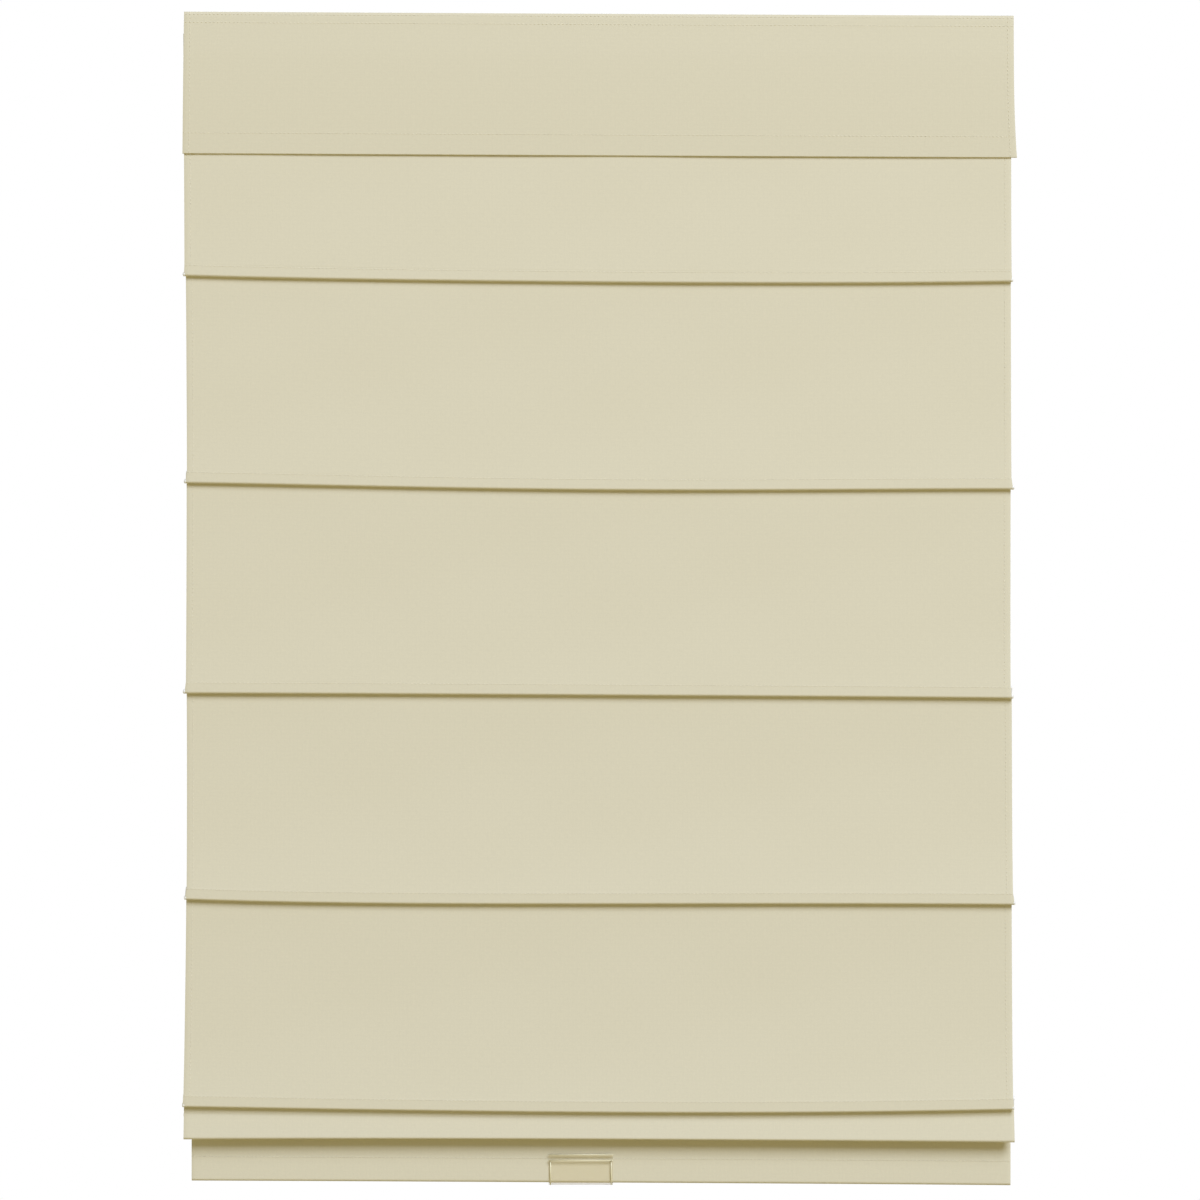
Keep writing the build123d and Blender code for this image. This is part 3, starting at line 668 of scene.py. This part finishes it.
def stitches(name, places, way, body):
    """Stitches at places (n, 3), each along its own way, lying on cloth that faces -Y.

    One stitch is seven rings round a line that rises out of the cloth and dips back in; the
    attribute of painted shade is 1 where it dips, and there the thread is painted darker for the
    shade in its needle hole. Sewn about 2.5 mm apart, stitches would be too
    fine to show, so they are drawn nearly twice as long.
    """
    settings = bpy.context.scene.blind_stitches
    reach = np.array((-0.5, -0.38, -0.26, 0.0, 0.26, 0.38, 0.5)) * settings.length
    height = np.array((-0.9, -0.2, 0.5, 0.7, 0.5, -0.2, -0.9)) * settings.thread
    # painted shade: share of darkening at each ring, full where the thread dips into the cloth
    painted_shade_share = np.array((1.0, 0.9, 0.1, 0.0, 0.1, 0.9, 1.0))
    sides = 5
    angle = ring_angles(sides)
    out = np.array((0.0, -1.0, 0.0))
    way = way / np.linalg.norm(way, axis=1, keepdims=True)
    side = np.cross(way, out)
    ring = settings.thread * (np.cos(angle)[:, None, None] * out + np.sin(angle)[:, None, None] * side[None])
    spine = places[None] + reach[:, None, None] * way[None] + height[:, None, None] * out
    points = spine[:, None] + ring[None]
    points = points.transpose(2, 0, 1, 3).reshape(-1, 3)
    faces = capped_tubes(len(places), len(reach), sides)
    painted_hole_shades = np.tile(np.repeat(painted_shade_share, sides), len(places))
    return new_piece(name, points, faces, [thread()], body, attribute=("painted_needle_hole_shade", painted_hole_shades))


def evenly(line):
    """Stitch places at an even pitch along a line of points, and the way that each one runs."""
    settings = bpy.context.scene.blind_stitches
    length = arc_length(line)
    count = max(int(length[-1] / settings.pitch), 2)
    places = along(length[-1] * (np.arange(count) + 0.5) / count, length, line)
    return places, np.gradient(places, axis=0)


def row_across(edges, y, z, drops):
    """A stitch row from edge to edge that follows a sagging line at height z."""
    across = np.linspace(-1, 1, ACROSS_POINTS)
    left, right = edges
    x = left + (right - left) * (across + 1) / 2
    return evenly(np.stack(np.broadcast_arrays(x, y, z + sag_line(drops, across)), -1))


def sew(name, rows, body):
    """All the given rows as one piece."""
    places, ways = (np.concatenate(part) for part in zip(*rows))
    return stitches(name, places, ways, body)


def squashed(piece):
    """Gives the piece a mesh of its own, and returns it."""
    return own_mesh(piece)


def pushed_out(piece):
    """Gives the piece a mesh of its own, and returns it."""
    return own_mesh(piece)


def white_surround(settings):
    """A white backdrop for sight, whose light is a fill from the front, warm from below, white from behind.

    Each share runs smoothly from 0 to 1 between two values of the way's Y or Z. The fill from
    below is dimmed towards straight down.
    """
    world = bpy.data.worlds.new("white_surround")
    world.use_nodes = True
    tree = world.node_tree
    tree.nodes.clear()
    way = add(tree, "ShaderNodeTexCoord")
    parts = add(tree, "ShaderNodeSeparateXYZ", inputs={0: (way, "Generated")})
    behind, above, outward = (
        add(tree, "ShaderNodeMapRange", {"interpolation_type": "SMOOTHSTEP"}, {
            "Value": (parts, axis), "From Min": first, "From Max": last})
        for axis, first, last in (("Y", -0.2, 0.3), ("Z", -0.25, 0.25), ("Z", -0.95, -0.5))
    )
    underfoot_share = 0.2
    low = dimmed(colour(settings.low_fill_hex), settings.low_fill)
    underfoot = dimmed(low, underfoot_share)
    high = dimmed(WHITE, settings.fill)
    back = dimmed(WHITE, settings.back_light)
    warm = add(tree, "ShaderNodeMix", {"data_type": "RGBA"}, {0: (outward, 0), 6: underfoot, 7: low})
    front = add(tree, "ShaderNodeMix", {"data_type": "RGBA"}, {0: (above, 0), 6: (warm, 2), 7: high})
    tint = add(tree, "ShaderNodeMix", {"data_type": "RGBA"}, {0: (behind, 0), 6: (front, 2), 7: back})
    light = add(tree, "ShaderNodeBackground", inputs={"Color": (tint, 2)})
    white = add(tree, "ShaderNodeBackground", inputs={"Color": WHITE})
    seen = add(tree, "ShaderNodeLightPath")
    both = add(tree, "ShaderNodeMixShader", inputs={
        0: (seen, "Is Camera Ray"), 1: (light, 0), 2: (white, 0)})
    add(tree, "ShaderNodeOutputWorld", inputs={"Surface": (both, 0)})
    return world


class BLIND_OT_stage(bpy.types.Operator):
    """Make the camera, the soft light, the white surround and the floor"""

    bl_idname = "blind.stage"
    bl_label = "Stage"

    def execute(self, context):
        scene = context.scene
        settings = scene.blind_stage
        scene.world = white_surround(settings)
        scene.camera = self.camera(settings)
        self.key_lamp(settings)
        self.floor(settings)
        scene.view_settings.view_transform = "Standard"
        return {"FINISHED"}

    def camera(self, settings):
        """A camera square to the shade, whose picture is frame_width wide there."""
        lens = bpy.data.cameras.new("camera")
        lens.sensor_width = 36.0
        lens.lens = lens.sensor_width * settings.distance / settings.frame_width
        lens.clip_end = 50.0
        camera = placed("camera", lens)
        x, y, z = PICTURE_MIDDLE
        camera.location = (x, y - settings.distance, z)
        camera.rotation_euler = (np.pi / 2, 0.0, 0.0)
        return camera

    def key_lamp(self, settings):
        """A broad square lamp, up and to the right, turned to its aim."""
        lamp = bpy.data.lights.new("key", "AREA")
        lamp.energy = settings.key_power
        lamp.color = colour(settings.key_hex)[:3]
        lamp.shape = "RECTANGLE"
        lamp.size = lamp.size_y = KEY_SIDE
        key = placed("key", lamp)
        key.location = KEY_PLACE
        aim = KEY_AIM - KEY_PLACE
        key.rotation_euler = (np.arctan2(np.hypot(aim[0], aim[1]), -aim[2]), 0.0, np.arctan2(-aim[0], aim[1]))

    def floor(self, settings):
        """A flat square grid of points at one height."""
        steps = np.linspace(-FLOOR_REACH, FLOOR_REACH, FLOOR_POINTS)
        x, y = np.meshgrid(steps, steps)
        points = np.stack([x, y, np.full_like(x, FLOOR_Z)], -1).reshape(-1, 3)
        mesh = bpy.data.meshes.new("studio_floor")
        mesh.from_pydata(points.tolist(), [], grid_faces(FLOOR_POINTS, FLOOR_POINTS)[:, ::-1].tolist())
        mesh.materials.append(made_once("matte_painted_floor", studio_floor, code=settings.floor_hex))
        floor = placed("studio_floor", mesh)
        # the low fill alone lights the creases from below
        floor.visible_diffuse = False


class BLIND_OT_valance(bpy.types.Operator):
    """Make the valance, its turned-up hem and its stitch rows"""

    bl_idname = "blind.valance"
    bl_label = "Valance"

    def execute(self, context):
        settings = context.scene.blind_cloth
        low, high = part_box("valance")
        front = low.y + HALF_CLOTH
        turn = HALF_CLOTH
        half = settings.valance_width / 2

        def edges(z):
            # the left edge strays in and the right one flares as depth^3
            depth = np.clip((high.z - z) / (high.z - low.z), 0, 1)
            left = -half + VALANCE_STRAY[0] + (VALANCE_STRAY[1] - VALANCE_STRAY[0]) * depth
            return np.stack([left, half + settings.corner_flare * depth**3], -1)

        def lean(z):
            # the cloth leans back to the shade below the headrail, as depth^bend
            bend = 1.3
            below = np.clip((HEADRAIL_BOTTOM - z) / (HEADRAIL_BOTTOM - low.z), 0, 1)
            return settings.valance_lean * below**bend

        wraps = [
            (front, high.z, 0.0, 1),
            (front + turn, low.z + turn + HALF_CLOTH, turn, 1),
            (front + 2 * turn, low.z + VALANCE_HEM, 0.0, 1),
        ]
        step = 6.0 * MM
        path, length, _ = wrapped_path(wraps, step)
        path[:, 0] += lean(path[:, 1])
        hang = [(0.0, VALANCE_SAG)]
        piece = cloth_piece("valance_cloth", path, length, edges(path[:, 1]), hang, "headrail")
        pushed_out(piece)
        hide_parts("valance")
        face = front - settings.thickness / 2
        inset = context.scene.blind_stitches.side_inset
        heights = (*(high.z - TAPE_ROWS), low.z + VALANCE_HEM)
        rows = [row_across(edges(z), face + lean(z), z, VALANCE_SAG) for z in heights]
        z = np.linspace(high.z, low.z, SIDE_POINTS)
        for side in (0, 1):
            x = edges(z)[:, side] - OUTWARD[side] * inset
            rows.append(evenly(np.stack([x, face + lean(z), z + sag_line(VALANCE_SAG, OUTWARD[side])], -1)))
        pushed_out(sew("valance_stitches", rows, "headrail"))
        return {"FINISHED"}


def leaning_path(start, end, rows=44):
    """A panel's line: it hangs plumb from its top and leans forward as share^LEAN_POWER towards its foot.

    The rows draw closer towards the foot, as 1 - (1 - step)^closing.
    """
    closing = 1.25
    share = 1 - (1 - np.linspace(0, 1, rows)) ** closing
    forward = share**LEAN_POWER
    return np.stack([start[0] + (end[0] - start[0]) * forward, start[1] + (end[1] - start[1]) * share], 1)


def plumb_edges(width):
    """The left and right edges of cloth of that width that hangs plumb."""
    return OUTWARD * width / 2


class BLIND_OT_panels(bpy.types.Operator):
    """Make the flat panels, from the headrail's tape to the last tuck"""

    bl_idname = "blind.panels"
    bl_label = "Panels"

    def execute(self, context):
        settings = context.scene.blind_cloth
        width = settings.shade_width
        plumb = plumb_edges(width)
        band_path = np.linspace((CLOTH_Y, SHADE_TOP), (CLOTH_Y, HEADRAIL_BOTTOM), BAND_ROWS)
        band_length = SHADE_TOP - band_path[:, 1]
        band = cloth_piece("shade_top_band", band_path, band_length, plumb + TOP_STRAY[0], [(0.0, LEVEL)],
                           "headrail")
        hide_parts("shade_fabric")
        inset = context.scene.blind_stitches.side_inset
        sags = [LEVEL, *CREASE_SAG]
        starts = [(CLOTH_Y, HEADRAIL_BOTTOM)] + list(zip(PANEL_TOP_Y - TOP_FORWARD[1:], SEAMS[:-1]))
        for k, start in enumerate(starts):
            path = leaning_path(start, (SEAM_Y - FORWARD[k], SEAMS[k]))
            length = arc_length(path)
            edges = plumb + along(length, (0.0, length[-1]), (TOP_STRAY[k], FOOT_STRAY[k]))
            hang = [(0.0, sags[k]), (length[-1], sags[k + 1])]
            panel = cloth_piece(f"shade_panel_{k + 1}", path, length, edges, hang, "headrail", BILLOW)
            squashed(panel)
            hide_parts("shade_fabric")
            hems = self.side_hems(f"side_hems_{k + 1}", path, length, edges, hang)
            squashed(hems)
            sides = cloth_grid(path, length, edges, hang, OUTWARD * (1 - 2 * inset / width), BILLOW)
            sides[..., 1] -= settings.thickness / 2
            rows = [evenly(sides[:, side]) for side in (0, 1)]
            squashed(sew(f"panel_stitches_{k + 1}", rows, "headrail"))
        return {"FINISHED"}

    def side_hems(self, name, path, length, edges, hang):
        """The cloth turned in behind both edges of a panel: the panel's own grid, one layer back."""
        settings = bpy.context.scene.blind_cloth
        share = 2 * SIDE_HEM / settings.shade_width
        points_across = 6
        grids = [cloth_grid(path, length, edges, hang, np.linspace(*span, points_across), BILLOW)
                 for span in ((-1, share - 1), (1 - share, 1))]
        rows, columns = grids[0].shape[:2]
        points = np.stack(grids).reshape(-1, 3)
        points[:, 1] += (settings.thickness + SIDE_HEM_THICKNESS) / 2 + SIDE_HEM_GAP
        down = np.broadcast_to(-length[None, :, None], (2, rows, columns))
        uv = np.stack([points[:, 0], down.ravel()], -1)
        faces = np.concatenate([grid_faces(rows, columns, start) for start in (0, rows * columns)])
        hems = new_piece(name, points, faces, [cloth_lining(), cloth_face()], "headrail",
                         ("cloth", uv))
        thickened(hems, SIDE_HEM_THICKNESS)
        return hems


def tuck_wraps(crease, forward, turn):
    """The wraps of one tuck, from the tail behind the panel above to the turn behind the seam.

    The cloth comes down behind the panel's lower edge, steps forward under the seam row, goes
    down to the rod's pocket, round the rod, up behind and over the seam's turn.
    """
    seam = crease + TUCK_DEPTH
    seam_y = SEAM_Y - forward
    tail_y = seam_y + TAIL_PITCH
    step = seam + SEAM_LAP
    return [
        (tail_y, step + SEAM_TAIL, 0.0, 1),
        (tail_y - SEAM_JOG, step + 3 * SEAM_JOG, SEAM_JOG, -1),
        (seam_y + SEAM_JOG, step, SEAM_JOG, 1),
        (ROD_Y - forward, crease + ROD_RISE, POCKET_RADIUS, 1),
        (seam_y + LAYER_PITCH + turn, seam, turn, -1),
    ]


def tuck_row(fold):
    """The stitch row across one tuck, at the seam."""
    settings = bpy.context.scene.blind_cloth
    edges = plumb_edges(settings.shade_width) + FOOT_STRAY[fold]
    return row_across(edges, SEAM_Y - FORWARD[fold] - settings.thickness / 2, SEAMS[fold], CREASE_SAG[fold])


class BLIND_OT_tucks(bpy.types.Operator):
    """Make the four upper tucks, each riding on the rod that it holds"""

    bl_idname = "blind.tucks"
    bl_label = "Tucks"

    def execute(self, context):
        settings = context.scene.blind_cloth
        step = 1.2 * MM
        for k in range(FOLDS - 1):
            tail = (PANEL_TOP_Y - TOP_FORWARD[k + 1] - TAIL_PITCH, SEAMS[k] - SEAM_TAIL, 0.0, 1)
            seam_turn = (LAYER_PITCH + FORWARD[k] - TOP_FORWARD[k + 1]) / 2
            wraps = [*tuck_wraps(CREASES[k], FORWARD[k], seam_turn), tail]
            # wraps 0 and 2 are over the seam, 3 is the rod, 4 and 5 are at the top of the next panel
            path, length, marks = wrapped_path(wraps, step)
            at_rod = FOOT_STRAY[k] + OUTWARD * TIP_FLARE[k]
            strays = (FOOT_STRAY[k], FOOT_STRAY[k], at_rod, TOP_STRAY[k + 1], TOP_STRAY[k + 1])
            edges = plumb_edges(settings.shade_width) + along(length, marks[[0, 2, 3, 4, 5]], strays)
            body = f"rod_{k + 1}"
            tuck = cloth_piece(f"shade_tuck_{k + 1}", path, length, edges, [(0.0, CREASE_SAG[k])], body)
            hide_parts("shade_fabric")
            sew(f"tuck_stitches_{k + 1}", [tuck_row(k)], body)
        return {"FINISHED"}


class BLIND_OT_foot(bpy.types.Operator):
    """Make the last tuck, the gathered fold and the weighted hem, which rise as one"""

    bl_idname = "blind.foot"
    bl_label = "Foot"

    def execute(self, context):
        settings = context.scene.blind_cloth
        last = FOLDS - 1
        crease, seam = CREASES[last], SEAMS[last]
        lift_z = seam - LIFT_ROD_DROP
        bar_y = HEM_Y + BAR_TURN
        seam_turn = (STRIP_Y - (SEAM_Y - FORWARD[last] + LAYER_PITCH)) / 2
        wraps = [
            *tuck_wraps(crease, FORWARD[last], seam_turn),
            (STRIP_Y - TUCK_BEND, crease - GATHER_BEND_DROP, TUCK_BEND, -1),
            (CLOTH_Y - GATHER_FORWARD, GATHER_CREASE + ROD_RISE, POCKET_RADIUS, 1),
            (HEM_Y - POCKET_RADIUS, lift_z, POCKET_RADIUS, -1),
            (bar_y, SHADE_BOTTOM + HALF_CLOTH + BAR_TURN, BAR_TURN, 1),
            (bar_y, SHADE_BOTTOM + BAR_TOP_RISE, BAR_TURN, 1),
            (HEM_Y + LAYER_PITCH, SHADE_BOTTOM + HEM_HEIGHT + HEM_TURN_IN, 0.0, 1),
        ]
        # wraps 0 to 4 are the tuck, 5 is the bend, 6 the gathered fold, 7 the lift rod, 8 and 9 the bar
        step = 1.6 * MM
        path, length, marks = wrapped_path(wraps, step)
        shade = plumb_edges(settings.shade_width)
        hem = plumb_edges(settings.hem_width) + HEM_STRAY
        over_lift_rod = marks[7]
        at_rod = FOOT_STRAY[last] + OUTWARD * TIP_FLARE[last]
        strays = (FOOT_STRAY[last], FOOT_STRAY[last], at_rod, STRIP_STRAY, GATHER_STRAY)
        edges = along(length, [*marks[[0, 2, 3, 4, 6]], over_lift_rod, over_lift_rod + DRAWN_IN],
                      [*(shade + stray for stray in strays), shade, hem])
        crease_sag = CREASE_SAG[last]
        bend_share = 0.8
        lines = (crease_sag, crease_sag, crease_sag * bend_share, GATHER_SAG, LEVEL, HEM_SAG, HEM_SAG)
        hang = list(zip(marks[[2, 4, 5, 6, 7, 8, 9]], lines))
        foot = cloth_piece("shade_foot", path, length, edges, hang, "bottom")
        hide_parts("shade_fabric")
        rows = [tuck_row(last), row_across(hem, HEM_Y - BAR_ROW_RISE, SHADE_BOTTOM + HEM_HEIGHT, HEM_SAG)]
        sew("foot_stitches", rows, "bottom")
        return {"FINISHED"}


def turned(profile, sides):
    """Points of a profile of (place along X, radius) turned about X, ring by ring."""
    angle = ring_angles(sides)
    place, radius = np.asarray(profile, float).T
    y, z = radius[:, None] * np.cos(angle), radius[:, None] * np.sin(angle)
    return np.stack([np.broadcast_to(place[:, None], y.shape), y, z], -1)


class BLIND_OT_rods(bpy.types.Operator):
    """Make the rods, bowed as the creases hang, and the round tips on their ends"""

    bl_idname = "blind.rods"
    bl_label = "Rods and tips"

    def execute(self, context):
        half = context.scene.blind_cloth.shade_width / 2
        radius = context.scene.blind_hardware.rod_radius
        for number, (crease, drops) in enumerate(zip(CREASES, CREASE_SAG), start=1):
            body = f"rod_{number}" if number < FOLDS else "bottom"
            middle = np.array((FOOT_STRAY[number - 1].mean(), ROD_Y - FORWARD[number - 1], crease + ROD_RISE))
            self.rod(number, body, middle, drops, radius, half)
            self.tips(number, body, middle, drops, radius, half)
        return {"FINISHED"}

    def rod(self, number, body, middle, drops, radius, half):
        """One rod: a circle carried along X and down with the crease's sag."""
        stations, sides = 121, 14
        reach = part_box(f"rod_{number}")[1].x
        x = np.linspace(-reach, reach, stations)
        points = turned(np.stack([x, np.full_like(x, radius)], 1), sides) + middle
        points[..., 2] += sag_line(drops, x / half)[:, None]
        faces = capped_tubes(1, stations, sides)
        piece = new_piece(f"fibre_rod_{number}", points.reshape(-1, 3), faces, [fibre()], body)
        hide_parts(f"rod_{number}")

    def tips(self, number, body, middle, drops, radius, half):
        """Both tips of one rod: TIP_PROFILE turned about X, mirrored on the left, with the rod's own bore."""
        low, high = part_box(f"rod_tips_{number}")
        inner = half + TIP_GAP
        bore = radius + TIP_BORE_GAP
        profile = TIP_PROFILE * (high.x - inner, (high.z - low.z) / 2) + (inner, 0.0)
        profile[:BORE_POINTS, 1] = (0.0, bore, bore)
        sides = 20
        points, faces = [], []
        for side in OUTWARD:
            tip = turned(profile, sides) * (side, 1.0, 1.0) + middle
            tip[..., 2] += sag_line(drops, side)
            quads = tube_faces(len(profile), sides, start=len(points) * len(profile) * sides)
            faces.append(quads if side > 0 else quads[:, ::-1])
            points.append(tip.reshape(-1, 3))
        piece = new_piece(f"rod_end_tips_{number}", np.concatenate(points), np.concatenate(faces).tolist(),
                          [plastic()], body)
        weld = piece.modifiers.new("weld", "WELD")
        weld.merge_threshold = 0.005 * MM
        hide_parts(f"rod_tips_{number}")


class BLIND_OT_bar(bpy.types.Operator):
    """Make the steel bar in the hem and the plugs at its ends, set as the hem hangs"""

    bl_idname = "blind.bar"
    bl_label = "Bottom bar"

    def execute(self, context):
        steel = made_once("zinc_plated_bar", drawn_metal, code="C4C4C0", roughness=0.4, line_pitch=0.6 * MM)
        self.length_of("hem_bar", "bottom_bar", steel, "bar_steel")
        self.length_of("hem_bar_plug_left", "bar_end_cap_left", plastic(), "white_plastic")
        self.length_of("hem_bar_plug_right", "bar_end_cap_right", plastic(), "white_plastic")
        return {"FINISHED"}

    def length_of(self, name, node, material, slot):
        """A round-edged flat bar: a rectangle with arcs for corners, carried along X with the hem's sag."""
        low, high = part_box(node)
        stations, sides = 61, 24
        angle = ring_angles(sides) + np.pi / sides
        corner = np.stack([np.cos(angle), np.sin(angle)], 1)
        half = np.array((high.y - low.y, high.z - low.z)) / 2 - BAR_EDGE
        section = np.sign(corner) * half + BAR_EDGE * corner
        section += np.array((low.y + high.y, low.z + high.z)) / 2
        x = np.linspace(low.x, high.x, stations)
        drop = sag_line(HEM_SAG, 2 * x / bpy.context.scene.blind_cloth.hem_width)
        points = np.empty((stations, sides, 3))
        points[..., 0] = (x + HEM_STRAY.mean())[:, None]
        points[..., 1] = section[:, 0]
        points[..., 2] = section[:, 1] + drop[:, None]
        faces = capped_tubes(1, stations, sides)
        piece = new_piece(name, points.reshape(-1, 3), faces, [material], "bottom")
        flat_ends = 2
        piece.data.polygons.foreach_set("use_smooth", np.arange(len(faces)) < len(faces) - flat_ends)
        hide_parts(node)


class BLIND_OT_cords(bpy.types.Operator):
    """Make the lift cords, from their spools down to the toggles"""

    bl_idname = "blind.cords"
    bl_label = "Lift cords"

    def execute(self, context):
        settings = context.scene.blind_hardware
        braid = made_once("braided_polyester_cord", braided_cord, code=settings.cord_hex)
        sides, rings = 10, 240
        strands, strand_turn, strand_rise = 3, 9.0 * MM, 0.05 * MM
        angle = ring_angles(sides)
        for name in ("left", "centre", "right"):
            low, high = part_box(f"lift_cord_{name}")
            x, y = (low.x + high.x) / 2, (low.y + high.y) / 2
            z = np.linspace(high.z, low.z, rings)
            ripple = strand_rise * np.cos(strands * angle + 2 * np.pi * z[:, None] / strand_turn)
            radius = settings.cord_radius - strand_rise + ripple
            points = np.stack([x + radius * np.cos(angle), y + radius * np.sin(angle),
                               np.broadcast_to(z[:, None], radius.shape)], -1)
            around = np.broadcast_to(settings.cord_radius * angle[None, :], radius.shape)
            uv = np.stack([around, np.broadcast_to(z[:, None], radius.shape)], -1).reshape(-1, 2)
            # the rings run downwards, so the faces are turned round
            faces = [face[::-1] for face in capped_tubes(1, rings, sides)]
            piece = new_piece(f"braided_cord_{name}", points.reshape(-1, 3), faces, [braid], "headrail",
                              ("cord", uv))
            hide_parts(f"lift_cord_{name}")
            squashed(piece)
        return {"FINISHED"}


class BLIND_OT_handle(bpy.types.Operator):
    """Make the clear pull handle that clips round the hem"""

    bl_idname = "blind.handle"
    bl_label = "Pull handle"

    def execute(self, context):
        settings = context.scene.blind_hardware
        low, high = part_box("pull_handle")
        wall, back_height, plate_gap = 1.6 * MM, 20.0 * MM, 0.2 * MM
        lip_height, lip_proud, edge_round = 6.6 * MM, 1.6 * MM, 0.5 * MM
        bead, bead_inset = 0.6 * MM, 2.0 * MM
        drop = float(sag_line(HEM_SAG, 0.0))
        plate_back = HEM_Y - HALF_CLOTH - plate_gap
        plate_front = plate_back - wall
        back_top = low.z + back_height
        lip_front = plate_front - lip_proud
        lip_low = high.z - lip_height
        # anticlockwise in y and z, so that the faces point outwards
        section = np.array([
            (high.y, low.z), (high.y, back_top), (high.y - wall, back_top), (high.y - wall, low.z + wall),
            (plate_back, low.z + wall), (plate_back, high.z), (lip_front, high.z), (lip_front, lip_low),
            (plate_front, lip_low), (plate_front, low.z),
        ])
        section[:, 1] += drop
        ends = np.array((low.x, high.x))
        points = np.empty((len(ends), len(section), 3))
        points[..., 0] = ends[:, None]
        points[..., 1:] = section
        faces = capped_tubes(1, len(ends), len(section))
        clear = made_once("clear_polycarbonate", clear_polycarbonate, code=settings.handle_hex)
        piece = new_piece("clear_pull_handle", points.reshape(-1, 3), faces, [clear], "bottom",
                          smooth=False)
        rounding = piece.modifiers.new("rounded_edges", "BEVEL")
        rounding.width = edge_round
        rounding.segments = 3
        rounding.limit_method = "ANGLE"
        # lamps and fill reach the hem behind the clear plate once, and not again through it
        piece.visible_shadow = False
        piece.visible_diffuse = False
        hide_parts("pull_handle")
        left, right = low.x + bead_inset, high.x - bead_inset
        foot, lip, top = low.z + drop, lip_low + drop, high.z - bead + drop
        self.beads(bead, [
            ((low.x, lip_front, top), (high.x, lip_front, top)),
            ((low.x, lip_front, lip), (high.x, lip_front, lip)),
            ((left, plate_front, foot), (left, plate_front, lip)),
            ((right, plate_front, foot), (right, plate_front, lip)),
        ])
        return {"FINISHED"}

    def beads(self, radius, lines):
        """Round beads moulded half into the front: a circle of the radius carried along each line."""
        starts, ends = np.array(lines).transpose(1, 0, 2)
        way = (ends - starts) / np.linalg.norm(ends - starts, axis=1, keepdims=True)
        out = np.array((0.0, -1.0, 0.0))
        sides = 12
        angle = ring_angles(sides)[:, None]
        ring = radius * (np.cos(angle) * out + np.sin(angle) * np.cross(way, out)[:, None])
        points = np.stack([starts[:, None] + ring, ends[:, None] + ring], 1)
        faces = capped_tubes(len(lines), 2, sides)
        # the beads are moulded ribs; their pale frosted plastic is a painted highlight along the clear
        # handle's edges
        highlight_frosted = made_once("frosted_polycarbonate_painted_highlight", moulded_plastic, code="E4DDB8", roughness=0.25,
                            grit=0.3 * MM)
        new_piece("handle_beads_painted_highlight", points.reshape(-1, 3), faces, [highlight_frosted], "bottom")


class BLIND_OT_hardware(bpy.types.Operator):
    """Finish the rail, brackets, tapes, spools, motor, eyelets and lift rod"""

    bl_idname = "blind.hardware"
    bl_label = "Hardware finishes"

    def execute(self, context):
        settings = context.scene.blind_hardware
        by_slot = {
            "rail_aluminium": made_once(
                "powder_coated_aluminium", moulded_plastic, code=settings.rail_hex, roughness=0.45,
                grit=0.6 * MM),
            "bracket_steel": made_once(
                "zinc_plated_steel", drawn_metal, code="BFC0BE", roughness=0.38, line_pitch=0.5 * MM),
            "white_plastic": plastic(),
            "shaft_steel": made_once(
                "bright_drawn_steel", drawn_metal, code="B4B4B2", roughness=0.3, line_pitch=0.3 * MM),
            "spring_steel": made_once(
                "blued_spring_steel", drawn_metal, code="6C7078", roughness=0.28, line_pitch=0.2 * MM),
            "white_tape": made_once("nylon_hook_and_loop", napped_tape, code="E6E4DC"),
            "glass_fibre": fibre(),
        }
        slots = {part["node"]: part["material_slot"] for part in frame["record"]["subparts"]}
        for name, piece in frame["nodes"].items():
            finish = by_slot.get(slots[name])
            if finish is not None:
                piece.data.materials.clear()
                piece.data.materials.append(finish)
        return {"FINISHED"}


OPERATORS = (
    BLIND_OT_stage, BLIND_OT_hardware, BLIND_OT_valance, BLIND_OT_panels, BLIND_OT_tucks,
    BLIND_OT_foot, BLIND_OT_rods, BLIND_OT_bar, BLIND_OT_cords, BLIND_OT_handle,
)


class BLIND_PT_sidebar(bpy.types.Panel):
    """The blind's pieces and settings"""

    bl_idname = "BLIND_PT_sidebar"
    bl_label = "Roman Blind"
    bl_space_type = "VIEW_3D"
    bl_region_type = "UI"
    bl_category = "Roman Blind"

    def draw(self, context):
        for operator in OPERATORS:
            self.layout.operator(operator.bl_idname)
        for group in SETTINGS:
            column = self.layout.column()
            held = getattr(context.scene, group)
            for name in held.__annotations__:
                column.prop(held, name)


SETTINGS = {
    "blind_cloth": ClothSettings,
    "blind_stitches": StitchSettings,
    "blind_hardware": HardwareSettings,
    "blind_stage": StageSettings,
}
CLASSES = (*SETTINGS.values(), *OPERATORS, BLIND_PT_sidebar)


def register():
    """Registers the classes and hangs the settings on the scene."""
    for made in CLASSES:
        bpy.utils.register_class(made)
    for name, group in SETTINGS.items():
        setattr(bpy.types.Scene, name, bpy.props.PointerProperty(type=group))


def unregister():
    """Takes the settings and the classes away."""
    for name in SETTINGS:
        delattr(bpy.types.Scene, name)
    for made in reversed(CLASSES):
        bpy.utils.unregister_class(made)


def main():
    """Registers the add-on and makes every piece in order."""
    register()
    bpy.ops.blind.stage()
    bpy.ops.blind.hardware()
    bpy.ops.blind.valance()
    bpy.ops.blind.panels()
    bpy.ops.blind.tucks()
    bpy.ops.blind.foot()
    bpy.ops.blind.rods()
    bpy.ops.blind.bar()
    bpy.ops.blind.cords()
    bpy.ops.blind.handle()


if __name__ == "__main__":
    main()
